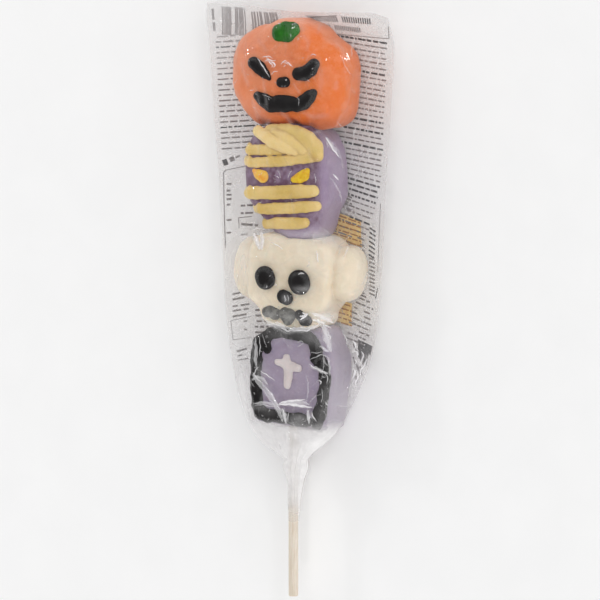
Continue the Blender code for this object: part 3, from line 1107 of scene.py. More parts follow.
CNU, CNY = 89, 193
cx, cy, cyy, cshare = film_places(CNU, CNY)
rim = np.repeat(rim_height(cyy)[:, None], CNU, axis=1)
neck = NECK_R * np.sqrt(np.maximum(1 - (2 * cshare[-1] - 1) ** 2, 0))
fixed = np.zeros(cx.shape, bool)
fixed[0] = fixed[-1] = True
fixed[:, 0] = fixed[:, -1] = True
over = cast(content_tree, cx, cy, True, -50.0) + 0.22
under = cast(content_tree, cx, cy, False, 50.0) - 0.15
start_front, start_back = rim.copy(), rim.copy()
start_front[-1] = MID_Z + neck
start_back[-1] = MID_Z - neck
ROUNDS = 2500
front_z = relax(cx, cy, fixed, start_front, over, True, ROUNDS)
back_z = relax(cx, cy, fixed, start_back, under, False, ROUNDS)

# -------- creases in the front film: view points, height mm, width mm, milkiness (whiteness along the crease, a painted highlight)
CREASES = [
    ([(258, 60), (263, 68), (268.5, 77)], 0.5, 0.6, 0.25),
    ([(262, 58), (266, 57), (270, 60), (267, 63), (264, 62)], 0.45, 0.5, 0.3),
    ([(268, 56), (272, 59), (275, 66), (271, 68)], 0.45, 0.5, 0.35),
    ([(266, 61), (272, 64), (276, 68)], 0.4, 0.6, 0.25),
    ([(281, 66), (284, 62), (288, 63), (291, 67)], 0.45, 0.5, 0.3),
    ([(284, 68), (287, 65), (293, 68)], 0.4, 0.5, 0.2),
    ([(270, 75), (274, 72), (278, 72)], 0.4, 0.5, 0.25),
    ([(310, 58), (314, 55.5), (317, 58)], 0.4, 0.5, 0.25),
    ([(325, 137), (332, 147), (340, 158)], 0.7, 0.8, 0.35),
    ([(333, 174), (336, 178), (338, 182)], 0.5, 0.6, 0.3),
    ([(253, 236), (257, 243), (261, 251)], 0.9, 1.2, 0.6),
    ([(256, 234), (263, 235), (262, 247)], 0.6, 1.0, 0.55),
    ([(270, 243), (277, 246), (284, 250)], 0.4, 0.6, 0.22),
    ([(316, 250), (317, 258), (318, 264)], 0.5, 0.7, 0.3),
    ([(308, 262), (310, 266), (309, 269)], 0.4, 0.5, 0.2),
    ([(266, 324), (273, 327), (279, 329), (287, 333), (294, 331), (302, 331), (310, 330), (319, 326.6)], 0.9, 0.8, 0.7),
    ([(296, 319), (303, 321), (308, 317)], 0.6, 0.7, 0.5),
    ([(277.8, 404.4), (288, 402), (306, 400)], 0.7, 0.8, 0.55),
    ([(284, 404), (298, 405.5), (312, 407.6)], 0.8, 0.9, 0.6),
    ([(260, 371), (268, 376), (276.5, 381)], 0.6, 0.6, 0.3),
    ([(308, 364), (313, 368), (320, 371), (329, 374)], 0.7, 0.6, 0.45),
    ([(253, 373), (260, 381), (266, 386), (273, 397), (281, 412), (285, 422)], 0.8, 1.3, 0.45),
    ([(284, 406), (285, 415), (287, 423)], 0.7, 0.9, 0.6),
    ([(308, 409), (311, 415), (315, 421)], 0.7, 0.8, 0.5),
    ([(307, 411), (308, 421)], 0.5, 0.6, 0.4),
    ([(322, 324), (326, 331), (330, 341), (333, 352)], 0.8, 1.6, 0.35),
    ([(252, 336), (254, 350), (253, 366)], 0.6, 0.8, 0.3),
    ([(352, 347), (356, 352), (360, 351)], 0.7, 0.7, 0.5),
    ([(354, 366), (359, 361), (364, 368), (360, 376)], 0.8, 0.8, 0.5),
    ([(356, 376), (362, 370), (366, 379), (361, 386)], 0.8, 0.8, 0.5),
    ([(351, 356), (354, 365), (352, 374)], 0.7, 0.8, 0.4),
    ([(286, 432), (287, 438), (286, 443)], 0.5, 0.6, 0.4),
    ([(294, 432), (295, 440)], 0.5, 0.6, 0.4),
    ([(274, 445), (276, 452), (278, 458)], 0.5, 0.7, 0.35),
    # Faint ones across the pumpkin.
    ([(241, 58), (244, 72), (250, 90)], 0.16, 1.6, 0.26),
    ([(258, 38), (264, 47), (268, 55)], 0.14, 1.6, 0.20),
    ([(301, 34), (309, 43), (307, 56)], 0.16, 1.4, 0.24),
    ([(320, 56), (322, 76), (320, 98)], 0.14, 1.6, 0.16),
    ([(299, 112), (314, 118), (332, 115)], 0.16, 1.6, 0.26),
    ([(251, 99), (256, 112), (258, 122)], 0.16, 1.6, 0.28),
    ([(279, 112), (287, 118), (293, 127)], 0.16, 1.5, 0.26),
    ([(333, 40), (343, 52), (349, 68)], 0.14, 1.6, 0.22),
    ([(296, 22), (302, 27), (306, 34)], 0.14, 1.6, 0.28),
]

rng = np.random.default_rng(7)


def crease_into(h, haze, x, y, line, amp, width, highlight_milk, wobble=0.0):
    """Adds a sharp fold along a line of world points to the height of the film's grid, and a painted highlight along
    the fold to its haze.
    """
    pts = np.array(line, float)
    lo, hi = pts.min(axis=0) - 5 * width - 1.0, pts.max(axis=0) + 5 * width + 1.0
    pick = (x > lo[0]) & (x < hi[0]) & (y > lo[1]) & (y < hi[1])
    if not pick.any():
        return
    px, py = x[pick], y[pick]
    best, along = np.full(px.shape, 1e9), np.zeros(px.shape)
    lengths = np.hypot(*np.diff(pts, axis=0).T)
    total = lengths.sum()
    run = 0.0
    for (x0, y0), (x1, y1), long in zip(pts, pts[1:], lengths):
        t = np.clip(((px - x0) * (x1 - x0) + (py - y0) * (y1 - y0)) / max(long**2, 1e-9), 0, 1)
        d = np.hypot(px - x0 - t * (x1 - x0), py - y0 - t * (y1 - y0))
        near = d < best
        best[near] = d[near]
        along[near] = (run + t[near] * long) / total
        run += long
    ends = smooth(along / 0.22) * smooth((1 - along) / 0.22)
    ends = 0.12 + 0.88 * ends
    fall = np.exp(-best / width) * ends
    h[pick] += amp * fall
    haze[pick] = np.maximum(haze[pick], highlight_milk * np.exp(-((best / (0.7 * width)) ** 2)) * ends)


def film_point(px, py, grid_z):
    """World x, y of the front film's point that shows at px, py."""
    z = 26.0
    for _ in range(6):
        x, y = at_view(px, py, z)
        j = int(np.clip((TOP_Y - y) / (TOP_Y - NECK_Y) * (CNY - 1), 0, CNY - 1))
        i = int(np.argmin(np.abs(cx[j] - x)))
        z = 0.5 * z + 0.5 * grid_z[j, i]
    return at_view(px, py, z)


TAIL_SHARE = 0.15  # of the rows of a sheet
CEILING = 30.42  # the bag is no thicker


def pleats(angle, y, strength=1.0):
    """Radial height, about -0.5..0.5, of the pleats of the gathered end, by angle round the stick."""
    ring = np.stack([np.cos(angle).ravel() * 6, y.ravel() * 0.3, np.sin(angle).ravel() * 6], axis=1)
    twist = 0.45 * noise(ring, 5.0, 111).reshape(angle.shape) + (y + 68) * 0.010
    wave = 0.0
    for n, ph, a in ((9, 0.4, 0.5), (16, 1.7, 0.35), (31, 0.6, 0.2)):
        wave = wave + a * (0.5 - np.abs(np.sin((angle + twist) * n / 2 + ph)))
    return strength * wave, ring


def sheet(nu, ny, coarse_z, front):
    """x, y, z, share across, and the row y of a film's grid: the bag, then its gathered tail."""
    tail_rows = int(ny * TAIL_SHARE)
    bag_rows = ny - tail_rows
    x, y, rows, share = film_places(nu, bag_rows)
    z = finer(coarse_z, bag_rows, nu)
    ty = np.linspace(NECK_Y, TAIL_END_Y, tail_rows + 1)[1:]
    u = np.linspace(0.0, 1.0, nu)
    sign = 1.0 if front else -1.0
    turn = math.pi - math.pi * u if front else math.pi + math.pi * u
    middle, radius = stations(TAIL_STATIONS, 1, ty), stations(TAIL_STATIONS, 2, ty)
    angle, yy = np.meshgrid(turn, np.concatenate([rows, ty]))
    wave, ring = pleats(angle, yy)
    low = yy[bag_rows:]
    r = radius[:, None] * np.ones_like(low)
    tx = middle[:, None] + r * np.cos(angle[bag_rows:])
    tz = MID_Z + r * np.sin(angle[bag_rows:])
    x = np.concatenate([x, tx])
    z = np.concatenate([z, tz])
    y = np.concatenate([y, low + 0.3 * np.sin(angle[bag_rows:] * 3 + 1) * smooth((-90 - low) / 5)])
    # The pleats are radial at the waist and die out up the bag.
    grow = smooth((-46.0 - yy) / 22.0) * (1 - 0.35 * smooth((-72 - yy) / 20))
    push = wave * grow * np.interp(yy[:, 0], ty[::-1], radius[::-1], right=NECK_R)[:, None] * 0.13
    turned_in = smooth((-60.0 - yy) / 8.0)
    x = x + push * np.cos(angle) * turned_in
    side = np.sin(math.pi * (share_rows(share, ny)))
    z = z + push * sign * (side * (1 - turned_in) + np.abs(np.sin(angle)) * turned_in)
    # Nothing of the tail goes into the stick.
    dx, dz = x + 1.7, z - MID_Z
    away = np.maximum(np.hypot(dx, dz), 1e-6)
    grow_out = np.where((yy < NECK_Y) & (away < 2.32), 2.32 / away, 1.0)
    x, z = -1.7 + dx * grow_out, MID_Z + dz * grow_out
    return x, y, z, share_rows(share, ny), np.concatenate([rows, ty]), bag_rows, ring


def share_rows(share, ny):
    """The share across for every row, the tail's rows like the waist's."""
    extra = ny - len(share)
    return np.concatenate([share, np.repeat(share[-1:], extra, axis=0)])


NU, NY = ((190, 470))
fx, fy, fz, fshare, frow, fbag, fring = sheet(NU, NY, front_z, True)
flat3 = np.stack([fx.ravel(), fy.ravel(), np.zeros(fx.size)], axis=1)


def film_noise(scale, seed, stretch=(1.0, 1.0)):
    p = flat3 * np.array([stretch[0], stretch[1], 1.0])
    return noise(p, scale, seed).reshape(fx.shape)


edge_dist = np.minimum(fx - fx[:, :1], fx[:, -1:] - fx)
edge_dist = np.minimum(edge_dist, fy[:1] - fy)
hold = smooth(edge_dist / 5.0) * smooth((fy + 68.0) / 10.0)
over_fine = np.full(fx.shape, -50.0)
over_fine[:fbag] = finer(over, fbag, NU)
gap = np.clip(fz - over_fine, 0, 30)
free = smooth(gap / 2.0)  # 0 where the film lies on the marshmallows
lift = np.zeros(fx.shape)
haze = np.full(fx.shape, 0.008)
lift += 0.45 * film_noise(14.0, 71) * free
lift += (0.26 * free + 0.05) * (0.35 - np.abs(film_noise(8.0, 73, (1.0, 0.6))))
lift += (0.16 * free + 0.03) * (0.35 - np.abs(film_noise(3.6, 74, (0.7, 1.0))))

for _ in range(230):
    x0 = rng.uniform(-40, 42)
    y0 = rng.uniform(-56, 122)
    way = rng.normal(math.pi / 2, 0.75)
    long = rng.uniform(3, 15)
    bend = rng.normal(0, 0.25)
    line = [
        (
            x0 + math.cos(way + bend * t) * long * t,
            y0 + math.sin(way + bend * t) * long * t,
        )
        for t in np.linspace(0, 1, 5)
    ]
    crease_into(lift, haze, fx, fy, line, rng.uniform(0.08, 0.30), rng.uniform(0.5, 1.2), rng.uniform(0.0, 0.10))

for line, amp, width, highlight_milk in CREASES:
    world = [film_point(px, py, front_z) for px, py in line]
    crease_into(lift, haze, fx, fy, world, amp * 0.7, width, highlight_milk * 0.35)

# Milkier where it is slack or gathered, and over the piping it doesn't touch.
margin = free * smooth((0.5 - over_fine) / 0.5)
haze += 0.05 * margin * (0.6 + 0.4 * film_noise(20.0, 90))
haze += 0.13 * margin * smooth((fy - 84.0) / 20.0) * smooth((6.0 - fx) / 20.0)
low_down = smooth((-49.0 - fy) / 8.0)
haze += low_down * (0.60 + 0.06 * film_noise(6.0, 91)) * (1 - 0.12 * smooth((-80 - fy) / 8))
haze *= 0.04 + 0.96 * smooth((fy + 95.2) / 12.0)
haze += 0.10 * smooth((-14.0 - fy) / 26.0) * margin
haze += 0.08 * smooth((6.0 - edge_dist) / 6.0) * margin


def cloud(px, py, rx, ry, amount):
    """A patch of milkiness about a view point."""
    x, y = film_point(px, py, front_z)
    d = ((fx - x) / rx) ** 2 + ((fy - y) / ry) ** 2
    return amount * np.exp(-d)


# Milky patches in the film. The one over the nose (285.8, 298.5) is a painted highlight, glare on the film, and the one
# at the lower left margin (242, 396) is painted light that lifts the shade there.
for place in (
    (286, 315, 12, 4, 0.08),
    (269, 315, 3.4, 2.0, 0.18),
    (289, 319, 3.4, 2.2, 0.12),
    (285.8, 298.5, 1.9, 1.8, 0.22),
    (303, 289, 4, 1.2, 0.20),
    (290, 333, 12, 3, 0.06),
    (276, 336, 6, 3, 0.05),
    (320, 238, 6, 3, 0.26),
    (244, 236, 5, 3, 0.20),
    (313, 338, 5, 3, 0.10),
    (297, 234, 9, 1.6, 0.20),
    (272, 239, 10, 2.4, 0.16),
    (244, 268, 3.6, 11, 0.22),
    (240, 262, 3, 8, 0.16),
    (324.5, 393, 2.2, 4.4, 0.06),
    (321, 416, 3.6, 5.4, 0.08),
    (299, 418.6, 5, 2.0, 0.22),
    (262, 372, 3, 4, 0.14),
    (262, 407, 5, 1.4, 0.14),
    (326, 333, 8, 6, 0.06),
    (323, 317, 5, 2.2, 0.35),
    (345, 398, 5, 12, 0.06),
    (314, 443, 4, 5, 0.12),
    (222, 24, 14, 12, 0.10),
    (268, 413.5, 4.5, 2.0, 0.05),
    (242, 396, 4, 12, 0.45),
):
    haze += cloud(*place)

# Tight small wrinkles where the film is drawn over the lowest shape.
tight = smooth((-6.0 - fy) / 6.0) * smooth((fy + 56.0) / 5.0)
lift += tight * 0.30 * (0.3 - np.abs(film_noise(2.6, 76, (1.0, 0.55))))
lift += tight * 0.16 * (0.3 - np.abs(film_noise(1.5, 77, (0.6, 1.0))))
fz = fz + lift * hold
roof = cast(content_tree, fx, fy, True, -50.0) + 0.10
fz = np.minimum(np.maximum(fz, roof), CEILING)


def sheet_faces(ny, nu, flip):
    i = np.arange(ny - 1)[:, None] * nu + np.arange(nu - 1)[None, :]
    i = i.ravel()
    quads = np.stack([i, i + nu, i + nu + 1, i + 1], axis=1)
    return quads[:, ::-1] if flip else quads


film_front = mesh_object(
    "film_front", np.stack([fx.ravel(), fy.ravel(), fz.ravel()], axis=1), sheet_faces(NY, NU, False), FILM_FRONT
)
float_layer(film_front, "haze", np.clip(haze, 0, 0.95).ravel())

# -------- back film
BNU, BNY = ((130, 320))
bx, by, bz, bshare, brow, bbag, bring = sheet(BNU, BNY, back_z, False)
b3 = np.stack([bx.ravel(), by.ravel(), np.zeros(bx.size)], axis=1)
b_edge = np.minimum(bx - bx[:, :1], bx[:, -1:] - bx)
b_edge = np.minimum(b_edge, by[:1] - by)
b_free = smooth((bz - 0.6) / 2.0) * smooth(b_edge / 5.0) * smooth((by + 68.0) / 10.0)
b_lift = 0.5 * noise(b3, 17.0, 101).reshape(bx.shape) + 0.25 * (
    0.35 - np.abs(noise(b3, 8.0, 102).reshape(bx.shape))
)
bz = np.maximum(bz + b_lift * b_free, 0.12)
b_haze = 0.33 + 0.06 * noise(b3, 22.0, 103).reshape(bx.shape)
b_haze += 0.12 * smooth((-50.0 - by) / 9.0)
b_haze *= 0.04 + 0.96 * smooth((by + 95.2) / 12.0)
film_back = mesh_object(
    "film_back", np.stack([bx.ravel(), by.ravel(), bz.ravel()], axis=1), sheet_faces(BNY, BNU, True), FILM_BACK
)
float_layer(film_back, "haze", np.clip(b_haze, 0, 0.95).ravel())
for piece in (film_front, film_back):
    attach(piece, "root")
    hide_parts("sealed_bag")

class Height:
    """Height of a film's grid at x, y."""

    def __init__(self, x, z, bag_rows):
        self.x, self.z, self.rows, self.nu = x, z, bag_rows, x.shape[1]

    def at(self, x, y):
        x, y = np.asarray(x, float), np.asarray(y, float)
        row_y = y.copy()
        for _ in range(4):
            left, right = stations(EDGE_STATIONS, 1, row_y), stations(EDGE_STATIONS, 2, row_y)
            share = np.clip((x - left) / (right - left), 0, 1)
            row_y = np.minimum(y - smooth((row_y - 95.0) / 29.5) * top_edge(share), TOP_Y)
        fj = np.clip((TOP_Y - row_y) / (TOP_Y - NECK_Y) * (self.rows - 1), 0, self.rows - 1.001)
        j = fj.astype(int)
        left, right = self.x[j, 0], self.x[j, -1]
        share = np.clip((x - left) / (right - left), 0, 1)
        w = smooth((-40.0 - row_y) / 28.0)
        u = share.copy()
        for _ in range(6):
            u = u - (u * (1 - w) + (1 - np.cos(np.pi * u)) / 2 * w - share) / np.maximum(
                (1 - w) + w * np.pi / 2 * np.sin(np.pi * u), 0.2
            )
            u = np.clip(u, 0, 1)
        fi = np.clip(u * (self.nu - 1), 0, self.nu - 1.001)
        i = fi.astype(int)
        tj, ti = fj - j, fi - i
        z = self.z
        return (
            z[j, i] * (1 - tj) * (1 - ti)
            + z[j + 1, i] * tj * (1 - ti)
            + z[j, i + 1] * (1 - tj) * ti
            + z[j + 1, i + 1] * tj * ti
        )


front_height = Height(fx, fz, fbag)
back_height = Height(bx, bz, bbag)


def on_sheet(height, px, py, z):
    for _ in range(7):
        x, y = at_view(px, py, z)
        z = 0.5 * z + 0.5 * float(height.at([x], [y])[0])
    return at_view(px, py, z)


# -------- small sharp folds on the front film: view points, width mm, height mm, whiteness (a painted highlight along the fold)
FOLDS = [
    ([(257.2, 58.4), (260, 62.5), (263.5, 68), (267, 73.5), (269.6, 78.4)], 0.55, 0.22, 0.62),
    ([(262, 58.4), (265.5, 57.2), (270, 57.6), (272.5, 59.2)], 0.42, 0.2, 0.8),
    ([(264.5, 62.5), (268, 60.2), (272, 61.6), (276.5, 61)], 0.4, 0.2, 0.8),
    ([(268.5, 59), (269.5, 63), (272.5, 66.5), (271, 68.6)], 0.4, 0.2, 0.75),
    ([(270, 65), (273.5, 63.6), (275.5, 66.2), (273, 68.4)], 0.5, 0.2, 0.85),
    ([(281, 66), (283, 62.6), (285.4, 61.6), (287, 63.6)], 0.4, 0.2, 0.75),
    ([(285.4, 65.4), (288, 63.8), (291, 66.4), (293.4, 68)], 0.38, 0.2, 0.7),
    ([(283.4, 68), (286, 66.2)], 0.36, 0.2, 0.6),
    ([(270.6, 76), (274, 72.8), (278.4, 72.4)], 0.38, 0.2, 0.55),
    ([(310, 57.6), (313, 55.4), (316.6, 56.4)], 0.4, 0.2, 0.6),
    ([(307, 80.8), (310, 82.6)], 0.4, 0.2, 0.5),
    ([(249.6, 91.4), (254.4, 90.2)], 0.4, 0.2, 0.5),
    ([(297, 97.6), (299, 102), (298.4, 107)], 0.36, 0.15, 0.35),
    ([(262.5, 95.6), (268.6, 97.4), (271.6, 99.6)], 0.36, 0.15, 0.35),
    ([(325, 138), (329, 143), (333, 150), (339.6, 158.4)], 0.75, 0.3, 0.8),
    ([(326, 142), (328.4, 149)], 0.4, 0.2, 0.45),
    ([(332.6, 174.4), (335, 176.6), (338.4, 181)], 0.6, 0.25, 0.7),
    ([(335.4, 175), (336.6, 179)], 0.35, 0.2, 0.5),
    ([(314, 174), (315.6, 179), (315, 184)], 0.4, 0.2, 0.35),
    ([(277, 170), (279.5, 174), (281, 180)], 0.4, 0.2, 0.3),
    ([(292.4, 170), (289.6, 174), (287.6, 180)], 0.4, 0.2, 0.3),
    ([(252, 230), (258, 228.4), (265, 229.6)], 0.5, 0.2, 0.5),
    ([(253.4, 233.4), (256.4, 239), (260.4, 250)], 1.1, 0.3, 0.7),
    ([(262.4, 232.6), (263, 240), (261.4, 250.4)], 0.9, 0.3, 0.6),
    ([(270.6, 242.6), (277, 245), (283.4, 249.6)], 0.5, 0.2, 0.5),
    ([(316.6, 250.4), (317.4, 257), (318, 263)], 0.6, 0.25, 0.6),
    ([(309, 261), (308.6, 264.4), (306.6, 267.6)], 0.45, 0.2, 0.4),
    ([(297.8, 275), (300.6, 273.4), (304.6, 273.6)], 0.6, 0.2, 0.75),
    ([(275, 283), (277, 286)], 0.45, 0.2, 0.45),
    ([(299.6, 319.6), (303.6, 317.8), (308, 313.8)], 0.9, 0.25, 0.9),
    ([(266.4, 324.4), (271, 324.2), (275.4, 324.2), (280.7, 327)], 0.9, 0.35, 0.6),
    ([(280, 326.6), (284.4, 329.4), (287.8, 330.8), (291.6, 329.6)], 0.9, 0.35, 0.65),
    ([(291.4, 329.6), (296, 330.6), (300.8, 330.0), (306.2, 330.8), (311.5, 328.4), (319.4, 325.6)], 0.75, 0.35, 0.7),
    ([(317, 320.6), (321, 326), (325, 333), (329.4, 341)], 0.9, 0.3, 0.4),
    ([(322.4, 326.4), (326.6, 325.4), (331, 328.4)], 0.7, 0.25, 0.55),
    ([(327, 334), (330.4, 336.6), (329.4, 339.6)], 0.6, 0.2, 0.6),
    ([(277.6, 404.6), (284, 401.8), (295, 400.4), (306, 399.6)], 1.1, 0.28, 0.9),
    ([(278.6, 405), (288, 404), (300, 405.6), (312.4, 407.4)], 1.5, 0.3, 0.95),
    ([(286, 402.4), (294, 404.8)], 0.7, 0.2, 0.6),
    ([(259.6, 370.6), (266, 374.4), (275.6, 380.8)], 0.5, 0.25, 0.8),
    ([(308.4, 363), (313, 366.8), (320, 370.2), (328.6, 373.8)], 0.55, 0.25, 0.8),
    ([(307.6, 360.4), (315, 357.2), (323, 354.6), (331, 360)], 0.5, 0.22, 0.35),
    ([(310, 352), (316, 352.8), (323, 351.6)], 0.5, 0.2, 0.3),
    ([(252.6, 372), (257, 378.6), (262, 382.6)], 0.9, 0.3, 0.5),
    ([(262, 383), (268.4, 391), (274.4, 401), (280, 412), (283.4, 421)], 1.5, 0.3, 0.30),
    ([(282.6, 408), (284, 415), (286.4, 423.4)], 0.8, 0.28, 0.75),
    ([(288.6, 412), (288, 422)], 0.5, 0.2, 0.5),
    ([(307.6, 410), (308.6, 421.4)], 0.8, 0.25, 0.7),
    ([(311.4, 411), (313, 416), (316.6, 421.6)], 0.6, 0.25, 0.75),
    ([(253.4, 337), (255, 347), (254.4, 358), (256, 368)], 0.5, 0.22, 0.4),
    ([(256.8, 343), (257.4, 354), (256.6, 365)], 0.4, 0.2, 0.4),
    ([(262.6, 333.6), (264, 340), (267, 347)], 0.4, 0.2, 0.35),
    ([(253, 375.6), (256.4, 369), (258.6, 366.6)], 0.6, 0.22, 0.6),
    ([(318, 380.4), (321, 381.6), (320.4, 384.6)], 0.6, 0.22, 0.8),
    ([(324, 372), (327.4, 376.4), (327, 384)], 0.4, 0.2, 0.5),
    ([(321.4, 388), (322.4, 396), (321, 403)], 0.4, 0.2, 0.4),
    ([(325, 402), (328.4, 405.6)], 0.5, 0.2, 0.5),
    ([(254.4, 406), (262, 404.6), (272, 406.4), (279, 406)], 0.6, 0.25, 0.45),
    ([(296, 343), (301, 341), (304, 344)], 0.4, 0.2, 0.55),
    ([(297, 347), (303.6, 343.4)], 0.4, 0.2, 0.5),
    ([(352.4, 341.0), (354.8, 343.0), (355.4, 346.6), (353.8, 349.4)], 0.8, 0.3, 0.65),
    ([(357.4, 345.2), (357.0, 348.6), (358.8, 351.4)], 0.5, 0.25, 0.5),
    ([(351.6, 352.6), (354.8, 351.0), (357.2, 353.2), (357.6, 357.2)], 0.9, 0.3, 0.5),
    ([(361.2, 350.4), (363.0, 355.0), (362.0, 359.8), (359.2, 363.6)], 0.7, 0.3, 0.55),
    ([(353.4, 359.0), (356.0, 361.6), (355.0, 365.6)], 0.7, 0.3, 0.45),
    ([(366.8, 358.0), (365.0, 363.8), (361.4, 368.8), (359.8, 375.0)], 0.8, 0.3, 0.6),
    ([(352.2, 369.0), (355.0, 371.0), (354.2, 375.0), (351.8, 377.8)], 0.8, 0.3, 0.6),
    ([(357.2, 372.0), (358.0, 377.2), (355.6, 381.8), (356.0, 386.4)], 0.7, 0.3, 0.6),
    ([(362.0, 376.0), (360.2, 380.6), (361.2, 384.4)], 0.5, 0.25, 0.4),
    ([(342, 331), (345.6, 338), (348, 345)], 0.6, 0.25, 0.3),
    ([(288.6, 431.4), (289.4, 433.4)], 0.75, 0.25, 0.95),
    ([(288.8, 438), (289.4, 439.8)], 0.75, 0.25, 0.95),
    ([(279.6, 444), (280.8, 449.6)], 0.7, 0.25, 0.5),
    # Wide, see-through folds along the lower edge of the skull and over the coffin.
    ([(265, 319.4), (271, 323.6), (279, 326.4), (287, 328.6)], 2.3, 0.3, 0.42),
    ([(284, 326.4), (292, 329.2), (300, 328.8), (308, 328.6), (320.6, 324.4)], 2.2, 0.3, 0.46),
    ([(276, 321), (280, 324.4), (286, 326)], 1.5, 0.25, 0.5),
    ([(310.6, 312.8), (316, 314.6), (324, 318), (334, 323)], 2.0, 0.3, 0.55),
    ([(312, 319.4), (318, 321), (325, 324)], 1.4, 0.25, 0.6),
    ([(322, 322), (324.6, 330), (327, 340), (331, 352)], 3.0, 0.3, 0.34),
    ([(252, 374), (258, 382), (266, 391), (273, 401), (279, 412), (283, 422)], 3.1, 0.3, 0.34),
    ([(251.6, 380), (257, 377.4), (263, 379.6), (268, 385)], 2.0, 0.25, 0.36),
    ([(278.4, 404.4), (288, 402.8), (300, 402), (310, 404.6)], 2.2, 0.3, 0.45),
    ([(281.6, 408), (284.4, 416), (286.2, 424)], 2.0, 0.3, 0.45),
    ([(307.6, 409), (308.6, 416), (308.8, 424)], 1.8, 0.3, 0.5),
    ([(253.6, 403.8), (262, 402.6), (270, 403.6), (278, 405.4)], 1.5, 0.3, 0.42),
    ([(255.2, 334), (256, 346), (255.4, 360), (258, 371)], 1.1, 0.22, 0.34),
    ([(259.4, 336), (260.2, 346), (259, 356)], 0.6, 0.22, 0.45),
    ([(319.4, 345.6), (324, 349), (329, 352)], 1.4, 0.25, 0.4),
    ([(310, 366), (317, 368.4), (323, 372), (329, 372.6)], 1.6, 0.25, 0.36),
    ([(327.6, 357), (329.4, 366), (329.2, 376)], 0.8, 0.22, 0.35),
    ([(253.4, 233), (256.4, 240), (260.6, 250)], 2.6, 0.3, 0.38),
    ([(261.6, 231.4), (262, 240), (261.6, 250)], 2.4, 0.3, 0.42),
    ([(326, 138), (331, 146), (338, 156)], 2.0, 0.3, 0.28),
    ([(266, 58), (270, 62), (275.6, 66)], 1.4, 0.2, 0.30),
    ([(283, 63), (287, 64), (292, 67)], 1.1, 0.2, 0.26),
    ([(284.2, 295), (285.4, 299), (284.6, 302)], 0.7, 0.2, 0.45),
    ([(287.6, 294.6), (288.6, 298), (287.8, 301.6)], 0.5, 0.2, 0.4),
    ([(299.6, 316.6), (304, 315.8), (308.4, 313.4)], 1.3, 0.25, 0.7),
    ([(302, 312.6), (306, 314.4)], 0.7, 0.2, 0.8),
]
# Small glints where the film is drawn tight over the piping.
sparks = np.random.default_rng(31)
for box, count in (
    ((249, 58, 270, 78), 6),
    ((292, 58, 320, 82), 4),
    ((276, 76, 291, 88), 5),
    ((254, 92, 318, 112), 5),
    ((272, 24, 300, 42), 5),
    ((252, 168, 312, 184), 9),
    ((253, 199, 318, 203), 5),
    ((258, 265, 276, 290), 4),
    ((290, 270, 312, 294), 5),
    ((280, 290, 293, 304), 4),
    ((263, 306, 312, 326), 14),
    ((251, 330, 270, 420), 16),
    ((309, 336, 331, 426), 26),
    ((262, 404, 322, 424), 20),
    ((262, 328, 318, 344), 8),
    ((352, 340, 367, 388), 16),
):
    for _ in range(count):
        qx, qy = sparks.uniform(box[0], box[2]), sparks.uniform(box[1], box[3])
        way, long = sparks.uniform(0, math.pi), sparks.uniform(1.2, 4.0)
        FOLDS.append(
            (
                [
                    (qx, qy),
                    (qx + long * 0.5 * math.cos(way), qy + long * 0.5 * math.sin(way)),
                    (qx + long * math.cos(way + 0.5), qy + long * math.sin(way + 0.5)),
                ],
                sparks.uniform(0.22, 0.42),
                0.16,
                sparks.uniform(0.2, 0.62),
            )
        )


def fold_strips(lines, height, seed):
    """Raised, sharp-topped strips of film along lines of world points, tapering out at both ends."""
    points, faces, highlight_milk = [], [], []
    wob = np.random.default_rng(seed)
    for line, width, high, white in lines:
        path = np.array(through([(x, y, 0.0) for x, y in line], 0.5))[:, :2]
        if len(path) < 3:
            path = np.linspace(line[0], line[-1], 6)
        way = np.gradient(path, axis=0)
        way /= np.maximum(np.hypot(way[:, 0], way[:, 1]), 1e-9)[:, None]
        across = np.stack([-way[:, 1], way[:, 0]], axis=1)
        t = np.linspace(0, 1, len(path))
        taper = np.clip(np.sin(np.pi * t), 0, 1) ** 0.6 * (0.88 + 0.12 * np.sin(t * 23 + wob.uniform(0, 6))) + 0.04
        path = path + across * (0.10 * np.sin(t * len(path) * 0.9 + wob.uniform(0, 6)))[:, None]
        start = len(points)
        for k, (s, lift_) in enumerate(((-0.5, -0.35), (-0.18, 0.72), (0.0, 1.0), (0.2, 0.62), (0.5, -0.35))):
            row = path + across * (s * width * taper)[:, None]
            z = np.minimum(height.at(row[:, 0], row[:, 1]) + 0.03 + high * lift_ * taper, CEILING + 0.04)
            points += [(a, b, c) for (a, b), c in zip(row, z)]
            # The strip's milkiness, strongest along its ridge, is a painted highlight.
            highlight_milk += list(white * (0.75 + 0.25 * taper) * (1.0 if abs(s) < 0.4 else 0.55))
        n = len(path)
        for k in range(4):
            for i in range(n - 1):
                a = start + k * n + i
                faces.append((a, a + 1, a + n + 1, a + n))
    return points, faces, highlight_milk


fold_lines = [([on_sheet(front_height, px, py, 26.0) for px, py in line], w, h, m) for line, w, h, m in FOLDS]
few = np.random.default_rng(19)
for _ in range(90):
    y0 = few.uniform(-58, 121)
    side = few.choice([-1, 1])
    edge = float(stations(EDGE_STATIONS, 1 if side < 0 else 2, y0))
    x0 = edge - side * few.uniform(1.5, 17.0)
    way = few.normal(math.pi / 2, 0.45)
    long = few.uniform(4, 13)
    bend = few.normal(0, 0.3)
    line = [
        (x0 + math.cos(way + bend * t) * long * t, y0 + math.sin(way + bend * t) * long * t)
        for t in np.linspace(0, 1, 4)
    ]
    inside_all = all(
        stations(EDGE_STATIONS, 1, yy) + 1.0 < xx < stations(EDGE_STATIONS, 2, yy) - 1.0 and yy < 123 for xx, yy in line
    )
    if inside_all:
        fold_lines.append((line, few.uniform(0.3, 0.8), few.uniform(0.10, 0.22), few.uniform(0.04, 0.2)))
pts, quads, highlight_milk = fold_strips(fold_lines, front_height, 5)
